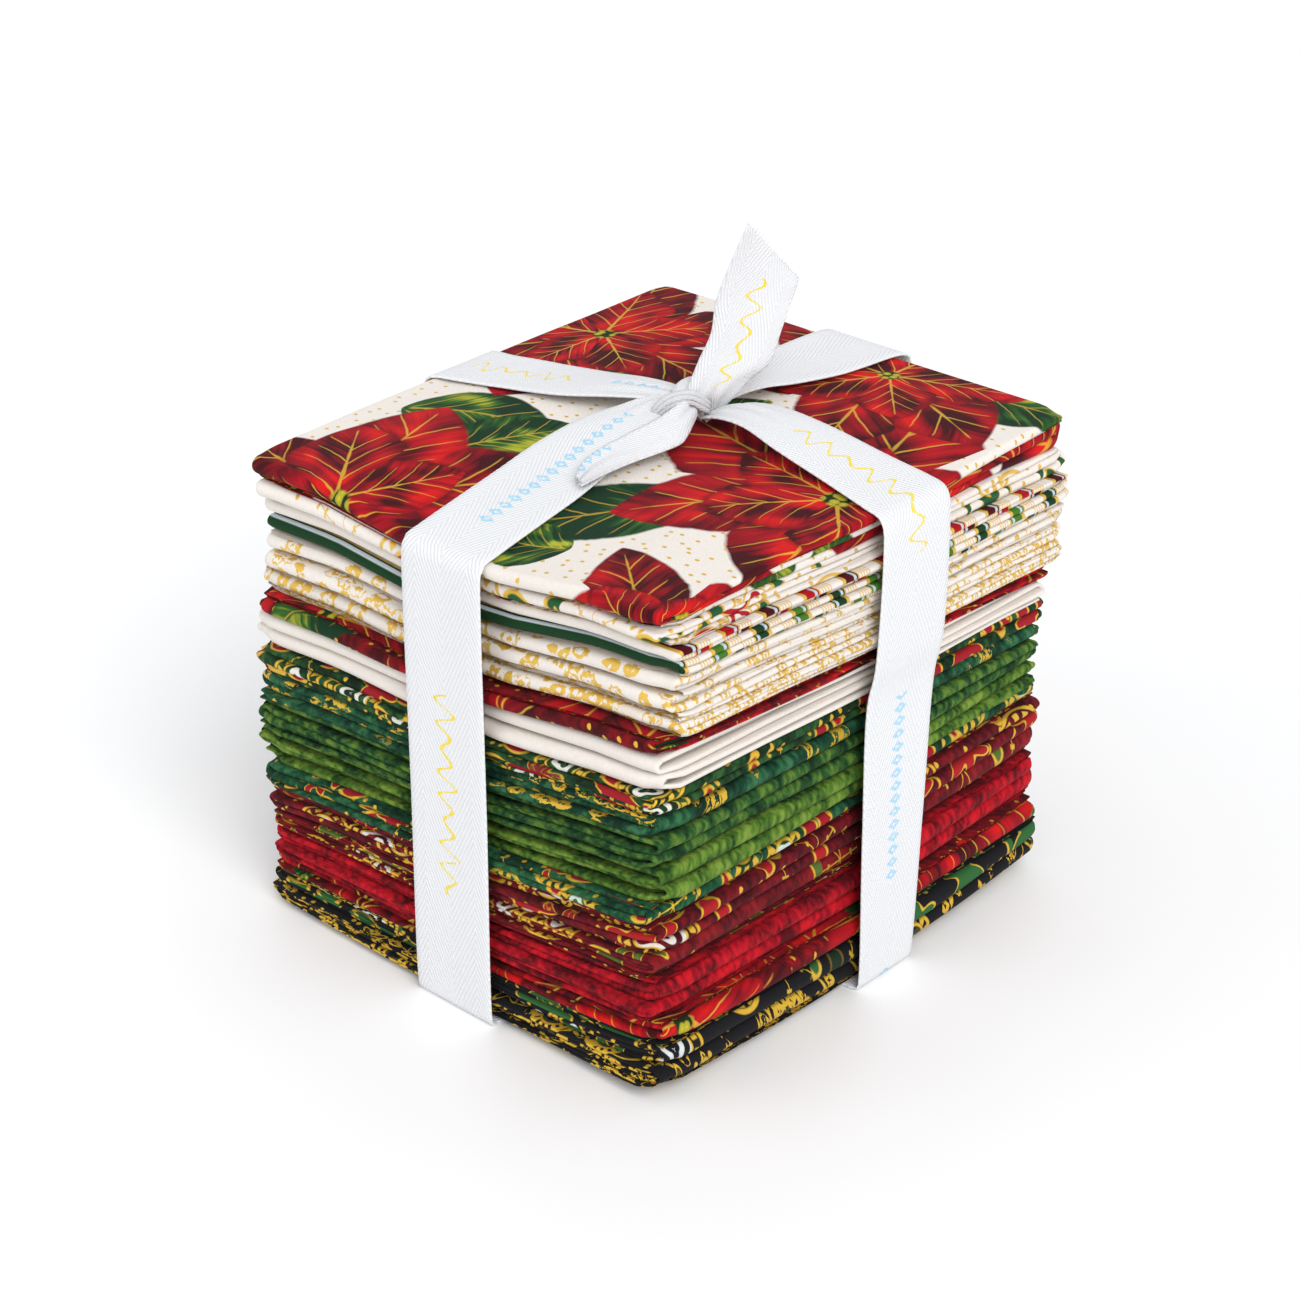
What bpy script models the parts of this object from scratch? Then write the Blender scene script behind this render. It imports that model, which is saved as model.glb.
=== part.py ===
"""Fat quarter bundle: a near-cube stack of folded quilting cottons, tied both ways.

Each quarter is one sheet, folded back and forth. The two bands of twill tape go round the
stack, cross under it, and end in the knot on top, with one free end standing and one lying.
Sizes are in millimetres in the tables and become metres where a mesh is made.
"""

import math

import bmesh
import bpy

NAME = "fat_quarter_bundle"
MM = 0.001

# Cloth and tape
CLOTH = 1.0
TAPE = 1.0
TAPE_WIDE = 25.4
AIR = 1.0  # from the top cloth's level to the middle of the tape that lies on it
ROUGH = 0.85

# The stack's half sides, to which the table of levels is measured
HALF_X = 70.0
HALF_Y = 77.0

# Middles of the two bands, and how far each side of its middle a band presses the stack flat
BAND_X = 4.0
BAND_Y = 6.0
PRESS = 15.5
FADE = 28.0

# Shape of the stack: the top's rise, the bands' dips, and the gaps beneath for the tape
PILLOW = 3.0
PILLOW_EDGE = 3
FRONT_DIP = 4.0
RIGHT_DIP = 1.2
DIP_FALL = 1.5
FLOOR_GAP = 1.5
CROSS_GAP = 1.5
CORNER_LIFT = 1.5
FLOOR_FALL = 3

# How unevenly the folds and edges end: how far they draw in, and how fast that changes from
# quarter to quarter, from layer to layer and along an edge
BEND_WAVE = 1.2
RIM_WAVE = 1.6
TURN_QUARTER = 2.4
TURN_LAYER = 1.9
TURN_ALONG = 0.045
FAR_RIM = 3
FAR_BEND = 4

# Moves the middle of the outline onto the origin
SHIFT_X = 0.7
SHIFT_Y = 0.75

# Where the folded sheets have their inner rows of points
LINES_X = (-42.0, BAND_X - PRESS, BAND_X + PRESS, 46.0)
LINES_Y = (-44.0, BAND_Y - PRESS, BAND_Y + PRESS, 50.0)
BEND_STEPS = 4

BLACK = (0.012, 0.011, 0.013)
RED = (0.42, 0.010, 0.018)
DARK_RED = (0.22, 0.008, 0.014)
BROWN = (0.11, 0.012, 0.010)
TEAL = (0.010, 0.11, 0.055)
LEAF = (0.030, 0.105, 0.020)
LIGHT_LEAF = (0.085, 0.19, 0.028)
DARK_LEAF = (0.014, 0.060, 0.022)
CREAM = (0.82, 0.76, 0.69)
GOLD_CREAM = (0.74, 0.62, 0.38)
WHITE = (0.85, 0.86, 0.90)

# A row for each quarter, bottom to top: its layers, the way its section runs (folds at the
# ends of that way), the end at which its lowest layer is open (-1 low, 1 high), where its
# four sides are, and its colour
QUARTERS = (
    # name, layers, run, open end, left, right, front, back, colour
    ("black_gold", 3, "X", 1, -71.5, 72.0, -79.0, 73.5, BLACK),
    ("black_ornament", 3, "X", -1, -70.0, 72.5, -77.5, 74.0, BLACK),
    ("poinsettia_low", 3, "X", -1, -70.5, 72.0, -77.0, 72.5, RED),
    ("red_low", 3, "X", 1, -68.0, 69.5, -79.0, 74.5, RED),
    ("red_mid", 3, "X", -1, -69.5, 70.5, -77.5, 72.5, RED),
    ("red_dark", 3, "X", 1, -68.0, 69.0, -78.5, 74.0, DARK_RED),
    ("brown_ornament", 5, "X", -1, -69.0, 70.5, -78.5, 74.5, BROWN),
    ("teal_ornament", 3, "X", -1, -71.0, 69.5, -79.0, 71.5, TEAL),
    ("green_light", 4, "X", -1, -75.5, 71.0, -76.5, 68.0, LIGHT_LEAF),
    ("green_leaf", 4, "X", -1, -73.5, 70.0, -78.5, 70.0, LEAF),
    ("teal_gold", 3, "X", -1, -72.0, 69.5, -78.0, 71.0, TEAL),
    ("green_ornament", 4, "X", -1, -71.5, 70.0, -78.5, 71.5, DARK_LEAF),
    ("cream_plain", 4, "Y", 1, -72.5, 70.5, -77.0, 70.0, CREAM),
    ("poinsettia_mid", 3, "Y", 1, -69.0, 70.0, -78.5, 74.0, RED),
    ("gold_heavy", 4, "Y", -1, -70.5, 74.0, -75.0, 72.5, GOLD_CREAM),
    ("gold_motif", 3, "Y", -1, -66.5, 72.5, -76.0, 76.0, GOLD_CREAM),
    ("gold_sparse", 3, "Y", -1, -65.5, 73.0, -75.0, 76.5, CREAM),
    ("plaid", 5, "Y", -1, -67.0, 74.0, -75.5, 76.0, CREAM),
    ("cream_mixed", 3, "Y", -1, -64.5, 71.5, -78.0, 77.0, CREAM),
    ("poinsettia_top", 3, "Y", -1, -66.0, 71.0, -78.5, 76.0, RED),
)

# Height of each level at the stack's four corners: the underside first, then each top
LEVELS = (
    # front right, front left, back right, back left
    (4.5, 1.8, 5.0, 2.5),
    (11.5, 6.1, 9.7, 7.2),
    (17.5, 10.5, 15.8, 12.4),
    (22.5, 14.9, 22.3, 18.2),
    (28.8, 19.3, 28.8, 24.2),
    (35.0, 23.8, 35.2, 30.2),
    (41.0, 28.4, 43.2, 36.6),
    (50.5, 36.4, 53.0, 46.0),
    (55.3, 41.0, 57.8, 51.0),
    (65.0, 51.0, 63.8, 58.0),
    (73.0, 60.6, 69.8, 64.5),
    (78.8, 67.2, 74.4, 71.0),
    (84.9, 75.4, 80.6, 79.0),
    (94.4, 85.0, 87.2, 88.0),
    (99.0, 89.8, 91.8, 93.0),
    (105.0, 96.4, 97.8, 99.2),
    (109.7, 101.2, 102.6, 104.2),
    (114.4, 106.0, 107.4, 109.2),
    (122.2, 117.0, 116.4, 118.0),
    (126.4, 122.0, 122.0, 123.2),
    (131.4, 128.0, 131.5, 130.0),
)
COUNT = len(QUARTERS)


def mix(low, high, share):
    return low + (high - low) * share


def beside(place, middle):
    """1 under a band, falling to 0 at FADE from its side."""
    off = abs(place - middle) - PRESS
    return min(1.0, max(0.0, 1.0 - off / FADE))


def level(k, x, y):
    """Height of level k of the stack at one place of its plan."""
    share = k / COUNT
    across = max(-1.0, min(1.0, x / HALF_X))
    along = max(-1.0, min(1.0, y / HALF_Y))
    right = (across + 1.0) / 2.0
    back = (along + 1.0) / 2.0
    front_right, front_left, back_right, back_left = LEVELS[k]
    height = mix(mix(front_left, front_right, right), mix(back_left, back_right, right), back)
    front_right, front_left, back_right, back_left = LEVELS[0]
    under = mix(mix(front_left, front_right, right), mix(back_left, back_right, right), back)
    corner = (abs(across) * abs(along)) ** CORNER_LIFT
    cross = CROSS_GAP * beside(x, BAND_X) * beside(y, BAND_Y)
    floor = FLOOR_GAP + cross + (under - FLOOR_GAP) * corner
    height += (floor - under) * (1.0 - share) ** FLOOR_FALL
    inner = (1.0 - abs(across) ** PILLOW_EDGE) * (1.0 - abs(along) ** PILLOW_EDGE)
    height += PILLOW * share**2 * inner
    height -= FRONT_DIP * share**DIP_FALL * beside(x, BAND_X) * (1.0 - back) ** 2
    height -= RIGHT_DIP * share**DIP_FALL * beside(y, BAND_Y) * right**2
    return height


def top(x, y):
    return level(COUNT, x, y)


def wave(size, k, part, place=0.0):
    """How far an edge draws in, from 0 to size, uneven from layer to layer and along it."""
    turn = TURN_QUARTER * k + TURN_LAYER * part + TURN_ALONG * place
    return size * (0.5 + 0.5 * math.sin(turn))


def cloth_material(name, colour):
    made = bpy.data.materials.new(name)
    made.use_nodes = True
    shader = made.node_tree.nodes["Principled BSDF"]
    shader.inputs["Base Color"].default_value = (*colour, 1.0)
    shader.inputs["Roughness"].default_value = ROUGH
    shader.inputs["Metallic"].default_value = 0.0
    made.diffuse_color = (*colour, 1.0)
    return made


def add(name, bm, colour):
    """Make the object of a mesh whose points are in millimetres."""
    for vert in bm.verts:
        vert.co.x = (vert.co.x + SHIFT_X) * MM
        vert.co.y = (vert.co.y + SHIFT_Y) * MM
        vert.co.z = vert.co.z * MM
    mesh = bpy.data.meshes.new(name)
    bm.to_mesh(mesh)
    bm.free()
    mesh.shade_smooth()
    made = bpy.data.objects.new(name, mesh)
    made.data.materials.append(cloth_material(name, colour))
    bpy.data.collections[NAME].objects.link(made)
    return made


def split_quads(bm):
    """Cut every four-sided face along the diagonal that runs front left to back right in plan."""
    for face in list(bm.faces):
        a, b, c, d = face.verts
        slope = (c.co.x - a.co.x) * (c.co.y - a.co.y)
        ends = (a, c) if slope > 0.0 else (b, d)
        bmesh.utils.face_split(face, *ends)


def sheet(name, rows, thick, colour, tape):
    """A flat grid laid on rows of points, given its thickness on both sides.

    Tape keeps an even thickness at its bends. Cloth is cut into triangles that lie alike in
    every layer, so that layers close together don't meet.
    """
    long = len(rows) - 1
    wide = len(rows[0]) - 1
    bm = bmesh.new()
    bmesh.ops.create_grid(bm, x_segments=long, y_segments=wide, size=1.0)
    for vert in bm.verts:
        i = round((vert.co.x + 1.0) / 2.0 * long)
        j = round((vert.co.y + 1.0) / 2.0 * wide)
        vert.co = rows[i][j]
    if not tape:
        split_quads(bm)
    made = add(name, bm, colour)
    solid = made.modifiers.new("thickness", "SOLIDIFY")
    solid.thickness = thick * MM
    solid.offset = 0.0
    solid.use_even_offset = tape


def section(k, layers, open_end, low, high, lines):
    """Points down the folded section: place along it, share of the height, layer, fold.

    Fold i joins layer i to the next one. It is -1 at the first free end.
    """
    heights = [LEVELS[k + 1][corner] - LEVELS[k][corner] for corner in range(4)]
    pitch = sum(heights) / len(heights) / layers
    reach = (pitch + CLOTH) / 2.0
    points = []
    for layer in range(layers):
        out = -open_end if layer % 2 == 0 else open_end
        share = (layer + 0.5) / layers
        places = [low + reach, *lines, high - reach]
        if out < 0.0:
            places.reverse()
        if layer == 0:
            places[0] -= out * (reach - CLOTH / 2.0)
        if layer == layers - 1:
            places[-1] += out * (reach - CLOTH / 2.0)
        folds = [layer - 1] + [layer] * (len(places) - 1)
        points += [(place, share, layer, fold) for place, fold in zip(places, folds)]
        if layer == layers - 1:
            break
        for step in range(1, BEND_STEPS):
            turn = math.pi * step / BEND_STEPS
            place = places[-1] + out * pitch / 2.0 * math.sin(turn)
            rise = (1.0 - math.cos(turn)) / 2.0
            points.append((place, share + rise / layers, layer + rise, layer))
    return points


def quarter(k):
    """One folded quarter between two levels of the stack."""
    name, layers, run, open_end, left, right, front, back, colour = QUARTERS[k]
    ends = (left, right) if run == "X" else (front, back)
    rims = (front, back) if run == "X" else (left, right)
    lines = LINES_X if run == "X" else LINES_Y
    cross_lines = LINES_Y if run == "X" else LINES_X
    rows = []
    for place, share, layer, fold in section(k, layers, open_end, *ends, lines):
        low = rims[0] + CLOTH / 2.0 + wave(RIM_WAVE, k, layer)
        high = rims[1] - CLOTH / 2.0 - wave(RIM_WAVE, k, layer + FAR_RIM)
        row = []
        for cross in (low, *cross_lines, high):
            drawn = place
            if place < lines[0]:
                drawn += wave(BEND_WAVE, k, fold, cross)
            if place > lines[-1]:
                drawn -= wave(BEND_WAVE, k, fold + FAR_BEND, cross)
            x, y = (drawn, cross) if run == "X" else (cross, drawn)
            row.append((x, y, mix(level(k, x, y), level(k + 1, x, y), share)))
        rows.append(row)
    sheet(name, rows, CLOTH, colour, tape=False)


# Front-and-back band, from the knot forwards, down the front, under, up the back and over.
# On top the height is measured from the cloth, and elsewhere from the floor
FRONT_BACK = (
    # y, height, from the cloth?, middle x, width, crown
    (-0.8, 5.0, True, 1.0, 11.0, 1.2),
    (-8.0, 4.8, True, 0.0, 15.0, 1.2),
    (-17.0, 3.8, True, -1.0, 19.5, 1.0),
    (-30.0, 2.0, True, -0.5, 24.0, 0.4),
    (-46.0, AIR, True, 1.5, TAPE_WIDE, 0.0),
    (-66.0, AIR, True, 3.5, TAPE_WIDE, 0.0),
    (-75.0, 0.9, True, BAND_X, TAPE_WIDE, 0.0),
    (-78.2, 0.2, True, BAND_X, TAPE_WIDE, 0.0),
    (-79.6, -1.8, True, BAND_X, TAPE_WIDE, 0.0),
    (-79.9, -5.0, True, BAND_X, TAPE_WIDE, 0.0),
    (-79.9, 60.0, False, BAND_X, TAPE_WIDE, 0.0),
    (-79.9, 2.0, False, BAND_X, TAPE_WIDE, 0.0),
    (-79.5, 0.9, False, BAND_X, TAPE_WIDE, 0.0),
    (-78.4, 0.5, False, BAND_X, TAPE_WIDE, 0.0),
    (0.0, 0.5, False, BAND_X, TAPE_WIDE, 0.0),
    (74.3, 0.5, False, BAND_X, TAPE_WIDE, 0.0),
    (75.4, 0.9, False, BAND_X, TAPE_WIDE, 0.0),
    (75.8, 2.0, False, BAND_X, TAPE_WIDE, 0.0),
    (75.8, 86.0, False, BAND_X, TAPE_WIDE, 0.0),
    (78.4, 97.0, False, BAND_X, TAPE_WIDE, 0.0),
    (78.4, -4.0, True, BAND_X, TAPE_WIDE, 0.0),
    (77.8, -0.8, True, BAND_X, TAPE_WIDE, 0.0),
    (75.0, 0.9, True, BAND_X, TAPE_WIDE, 0.0),
    (52.0, AIR, True, BAND_X, 24.0, 0.0),
    (36.0, 2.4, True, BAND_X, 19.0, 0.6),
    (26.0, 4.2, True, 5.0, 14.0, 1.2),
    (18.9, 5.0, True, 6.0, 11.0, 1.2),
)

# Left-and-right band, the same way: from the knot to the left, down, under, up and over
CROSS_LOW = 0.5
CROSS_HIGH = 1.85
LEFT_RIGHT = (
    # x, height, from the cloth?, middle y, width, crown
    (-5.8, 5.0, True, 5.0, 11.0, 1.2),
    (-14.0, 4.4, True, 3.0, 14.5, 1.2),
    (-26.0, 2.6, True, 0.5, 18.0, 0.8),
    (-42.0, AIR, True, -1.5, 20.0, 0.2),
    (-58.0, AIR, True, -4.0, 21.0, 0.0),
    (-64.2, 0.9, True, -4.0, 22.0, 0.0),
    (-67.2, -0.2, True, -4.0, 23.0, 0.0),
    (-68.1, -9.0, True, -3.5, 24.0, 0.0),
    (-68.1, 101.0, False, -2.0, TAPE_WIDE, 0.0),
    (-71.6, 94.0, False, -1.0, TAPE_WIDE, 0.0),
    (-74.2, 76.0, False, 0.0, TAPE_WIDE, 0.0),
    (-76.4, 58.0, False, 2.0, TAPE_WIDE, 0.0),
    (-76.4, 46.0, False, 3.0, TAPE_WIDE, 0.0),
    (-72.4, 30.0, False, 4.0, TAPE_WIDE, 0.0),
    (-72.4, 2.0, False, BAND_Y, TAPE_WIDE, 0.0),
    (-72.0, 0.9, False, BAND_Y, TAPE_WIDE, 0.0),
    (-70.9, CROSS_LOW, False, BAND_Y, TAPE_WIDE, 0.0),
    (-23.0, CROSS_LOW, False, BAND_Y, TAPE_WIDE, 0.0),
    (-12.0, CROSS_HIGH, False, BAND_Y, TAPE_WIDE, 0.0),
    (20.0, CROSS_HIGH, False, 4.0, TAPE_WIDE, 0.0),
    (31.0, CROSS_LOW, False, 3.5, 24.0, 0.0),
    (71.9, CROSS_LOW, False, 3.5, 21.0, 0.0),
    (73.0, 0.9, False, 3.5, 20.5, 0.0),
    (73.4, 2.0, False, 3.5, 20.5, 0.0),
    (73.4, 45.0, False, 4.5, 23.5, 0.0),
    (73.4, 82.0, False, 5.5, TAPE_WIDE, 0.0),
    (75.0, 92.0, False, 6.0, TAPE_WIDE, 0.0),
    (75.0, -6.5, True, 7.0, 24.5, 0.0),
    (74.2, -2.0, True, 7.5, 24.5, 0.0),
    (72.4, 0.1, True, 7.8, 24.5, 0.0),
    (69.0, 1.0, True, 8.0, 24.5, 0.0),
    (56.0, 1.6, True, 8.5, 22.0, 0.3),
    (38.0, 4.0, True, 8.5, 19.0, 0.8),
    (25.0, 5.4, True, 9.0, 14.5, 1.2),
    (15.8, 5.4, True, 9.5, 11.0, 1.2),
)


def band(name, table, along_y):
    """A band of tape, flat across or slightly crowned, on the route that its table gives."""
    rows = []
    for along, height, on_cloth, middle, wide, crown in table:
        row = []
        for side in (-1.0, 0.0, 1.0):
            across = middle + side * wide / 2.0
            x, y = (across, along) if along_y else (along, across)
            z = height + crown * (1.0 - abs(side))
            if on_cloth:
                base = (middle, along) if along_y else (along, middle)
                z += max(top(x, y), top(*base))
            row.append((x, y, z))
        rows.append(row)
    sheet(name, rows, TAPE, WHITE, tape=True)


# Knot: a lump of gathered tape, its long half side laid KNOT_SLANT degrees from the right
KNOT_MIDDLE = (5.0, 9.0, 139.0)
KNOT_HALF = (10.0, 7.6, 6.0)
KNOT_SLANT = 35.0
KNOT_SEGMENTS = 16
KNOT_RINGS = 10
KNOT_PLEATS = 5
KNOT_PLEAT_DEEP = 0.06


def knot():
    """The knot's lump: a rounded body with shallow pleats, laid on a slant."""
    bm = bmesh.new()
    bmesh.ops.create_uvsphere(bm, u_segments=KNOT_SEGMENTS, v_segments=KNOT_RINGS, radius=1.0)
    slant = math.radians(KNOT_SLANT)
    for vert in bm.verts:
        x, y, z = vert.co
        pleat = 1.0 + KNOT_PLEAT_DEEP * math.sin(KNOT_PLEATS * math.atan2(y, x)) * (1.0 - z * z)
        x = x * KNOT_HALF[0] * pleat
        y = y * KNOT_HALF[1] * pleat
        vert.co.x = KNOT_MIDDLE[0] + x * math.cos(slant) - y * math.sin(slant)
        vert.co.y = KNOT_MIDDLE[1] + x * math.sin(slant) + y * math.cos(slant)
        vert.co.z = KNOT_MIDDLE[2] + z * KNOT_HALF[2]
    add("ribbon_knot", bm, WHITE)


# Free ends: a row for each place up or along the end, with its two edges, and how far the
# middle of the tape stands off its edges
STANDING_CUP = 0.9
LYING_CUP_LEFT = 1.4
LYING_CUP_RIGHT = 0.6
STANDING_END = (
    # left x, left y, right x, right y, left z, right z
    (3.0, 10.0, 9.4, 14.0, 145.9, 145.9),
    (2.2, 11.4, 10.8, 17.8, 149.0, 149.0),
    (1.8, 13.8, 13.6, 23.2, 154.5, 153.5),
    (2.2, 16.0, 15.4, 27.0, 161.0, 158.0),
    (3.8, 18.6, 17.0, 30.0, 169.5, 163.5),
    (7.2, 23.4, 17.8, 32.4, 178.8, 168.6),
)
LYING_END = (
    # left x, left y, right x, right y, height over the cloth
    (-1.0, -1.0, 10.0, -1.6, 8.2),
    (0.0, -9.0, 16.0, -11.0, 8.2),
    (2.5, -18.0, 17.0, -21.5, 6.4),
    (6.5, -28.0, 16.6, -32.5, 4.4),
    (12.5, -40.0, 15.8, -42.5, 2.8),
)


def standing_end():
    """The free end that stands up from the knot, leaning right, with a slanting cut."""
    rows = []
    for left_x, left_y, right_x, right_y, left_z, right_z in STANDING_END:
        middle_x = (left_x + right_x) / 2.0 + STANDING_CUP
        middle_y = (left_y + right_y) / 2.0 - STANDING_CUP
        middle = (middle_x, middle_y, (left_z + right_z) / 2.0)
        rows.append([(left_x, left_y, left_z), middle, (right_x, right_y, right_z)])
    sheet("ribbon_end_standing", rows, TAPE, WHITE, tape=False)


def lying_end():
    """The free end that lies forwards over the front band, cupped upwards."""
    rows = []
    for left_x, left_y, right_x, right_y, height in LYING_END:
        middle_x = (left_x + right_x) / 2.0
        middle_y = (left_y + right_y) / 2.0
        base = top(middle_x, middle_y) + height
        rows.append(
            [
                (left_x, left_y, base + LYING_CUP_LEFT),
                (middle_x, middle_y, base),
                (right_x, right_y, base + LYING_CUP_RIGHT),
            ]
        )
    sheet("ribbon_end_lying", rows, TAPE, WHITE, tape=False)


for old in list(bpy.data.objects):
    bpy.data.objects.remove(old, do_unlink=True)
bpy.context.scene.collection.children.link(bpy.data.collections.new(NAME))
for index in range(COUNT):
    quarter(index)
band("ribbon_front_back", FRONT_BACK, True)
band("ribbon_left_right", LEFT_RIGHT, False)
knot()
standing_end()
lying_end()
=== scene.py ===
# %% [markdown]
# # A tied bundle of fat quarters
#
# A fat quarter is a piece of quilting cotton, 18 by 21 inches. This bundle holds twenty of
# them, each folded in ten or twelve plies and laid on the next, and one length of white twill
# tape holds them together. The file builds the looks around solids that are already packed:
# each step first says what the real thing is and how it could be made, and then makes it.

import math

import bmesh
import bpy
import numpy as np
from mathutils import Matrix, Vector


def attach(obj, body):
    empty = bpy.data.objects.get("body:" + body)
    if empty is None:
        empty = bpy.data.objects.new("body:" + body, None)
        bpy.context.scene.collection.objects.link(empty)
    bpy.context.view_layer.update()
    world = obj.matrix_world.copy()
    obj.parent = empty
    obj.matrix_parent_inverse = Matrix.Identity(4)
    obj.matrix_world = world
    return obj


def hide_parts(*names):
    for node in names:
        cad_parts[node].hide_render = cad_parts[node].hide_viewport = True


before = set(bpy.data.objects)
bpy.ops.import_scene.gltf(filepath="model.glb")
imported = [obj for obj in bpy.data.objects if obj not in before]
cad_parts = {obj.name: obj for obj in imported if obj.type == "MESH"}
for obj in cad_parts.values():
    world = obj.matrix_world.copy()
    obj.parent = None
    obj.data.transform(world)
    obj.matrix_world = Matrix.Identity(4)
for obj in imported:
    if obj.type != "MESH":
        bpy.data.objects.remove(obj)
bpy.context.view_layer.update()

# %% [markdown]
# ## The stack's heights
#
# The stack is no true cube. Its quarters are thicker where their folds gather, and the tape
# pulls the top down in the middle of its sides. One table gives the height of each level at
# the four corners, and one function bends it between them, so that every sheet, and the tape
# on top, asks the same function where it lies. Moving points by eye would let sheets cross.

# %% Heights of the stack
MM = 0.001
SHIFT_X = 0.7  # from the tables' middle to the frame's, in mm
SHIFT_Y = 0.75
HALF_X = 70.0  # half the stack's plan
HALF_Y = 77.0
BAND_X = 4.0  # the middle line of each band of tape
BAND_Y = 6.0
PRESS = 15.5  # half the width that a band presses down, and how far that fades beside it
FADE = 28.0
PILLOW = 3.0  # how high the top swells in its middle, and how flat the swelling is
PILLOW_EDGE = 3
FRONT_DIP = 4.0  # how deep the tape draws the top in at the front and at the right
RIGHT_DIP = 1.2
DIP_FALL = 1.5  # how fast the dips fade downwards
FLOOR_GAP = 1.5  # room for the tape under the stack, once and where it crosses
CROSS_GAP = 1.5
CORNER_LIFT = 1.5  # how close to the corners the stack's underside lifts
FLOOR_FALL = 3  # how fast the lift of the underside fades upwards
SWAY = 0.35  # how far a level wanders up and down between two quarters

LEVELS = (
    # front right, front left, back right, back left
    (4.5, 1.8, 5.0, 2.5),
    (11.5, 6.1, 9.7, 7.2),
    (17.5, 10.5, 15.8, 12.4),
    (22.5, 14.9, 22.3, 18.2),
    (28.8, 19.3, 28.8, 24.2),
    (35.0, 23.8, 35.2, 30.2),
    (41.0, 28.4, 43.2, 36.6),
    (50.5, 36.4, 53.0, 46.0),
    (55.3, 41.0, 57.8, 51.0),
    (65.0, 51.0, 63.8, 58.0),
    (73.0, 60.6, 69.8, 64.5),
    (78.8, 67.2, 74.4, 71.0),
    (84.9, 75.4, 80.6, 79.0),
    (94.4, 85.0, 87.2, 88.0),
    (99.0, 89.8, 91.8, 93.0),
    (105.0, 96.4, 97.8, 99.2),
    (109.7, 101.2, 102.6, 104.2),
    (114.4, 106.0, 107.4, 109.2),
    (122.2, 117.0, 116.4, 118.0),
    (126.4, 122.0, 122.0, 123.2),
    (131.4, 128.0, 131.5, 130.0),
)
COUNT = len(LEVELS) - 1


def mix(low, high, share):
    return low + (high - low) * share


def ease(value):
    value = np.clip(value, 0.0, 1.0)
    return value * value * (3.0 - 2.0 * value)


def beside(place, middle):
    """1 under a band, falling to 0 at FADE from its side."""
    return np.clip(1.0 - (np.abs(place - middle) - PRESS) / FADE, 0.0, 1.0)


def level(k, x, y):
    """Height of level k of the stack at places of its plan, in millimetres."""
    share = k / COUNT
    across = np.clip(x / HALF_X, -1.0, 1.0)
    along = np.clip(y / HALF_Y, -1.0, 1.0)
    right = (across + 1.0) / 2.0
    back = (along + 1.0) / 2.0

    def between(row):
        front_right, front_left, back_right, back_left = row
        return mix(mix(front_left, front_right, right), mix(back_left, back_right, right), back)

    height = between(LEVELS[k])
    under = between(LEVELS[0])
    corner = (np.abs(across) * np.abs(along)) ** CORNER_LIFT
    cross = CROSS_GAP * beside(x, BAND_X) * beside(y, BAND_Y)
    floor = FLOOR_GAP + cross + (under - FLOOR_GAP) * corner
    height = height + (floor - under) * (1.0 - share) ** FLOOR_FALL
    inner = (1.0 - np.abs(across) ** PILLOW_EDGE) * (1.0 - np.abs(along) ** PILLOW_EDGE)
    height = height + PILLOW * share**2 * inner
    height = height - FRONT_DIP * share**DIP_FALL * beside(x, BAND_X) * (1.0 - back) ** 2
    return height - RIGHT_DIP * share**DIP_FALL * beside(y, BAND_Y) * right**2


def swayed(k, x, y):
    """The same level with the slow wander that soft cloth has between two quarters."""
    if k in (0, COUNT):
        return level(k, x, y)
    turn = 1.7 * k
    wander = np.sin(0.047 * x + turn) + np.sin(0.061 * y + 2.3 * turn) + np.sin(0.03 * (x - y) + turn)
    return level(k, x, y) + SWAY * wander / 1.5


print("top at the middle:", round(float(level(COUNT, 0.0, 0.0)), 1), "mm")

# %% [markdown]
# ## One folded quarter
#
# A shop folds the cloth twice: first along its length into narrow plies, and then across, back
# and forth. So a side of the stack shows either broad round folds, where the second folding
# turns, or rows of narrow ones, where the first does. Simulating twenty sheets in all their
# plies would take hours and slide about. Here each sheet is a flat grid, and two rules put
# every point of it in place: where it is down the section, and which ply of its layer it is in.

# %% Ways of folding
# The height order of the plies, from the first to the last as they are joined
PAIR = (0, 1)
LETTER = (0, 2, 1)
ZIGZAG = (0, 1, 2)
HALVED = (1, 2, 3, 0)
FOURFOLD = (0, 1, 2, 3)

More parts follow.
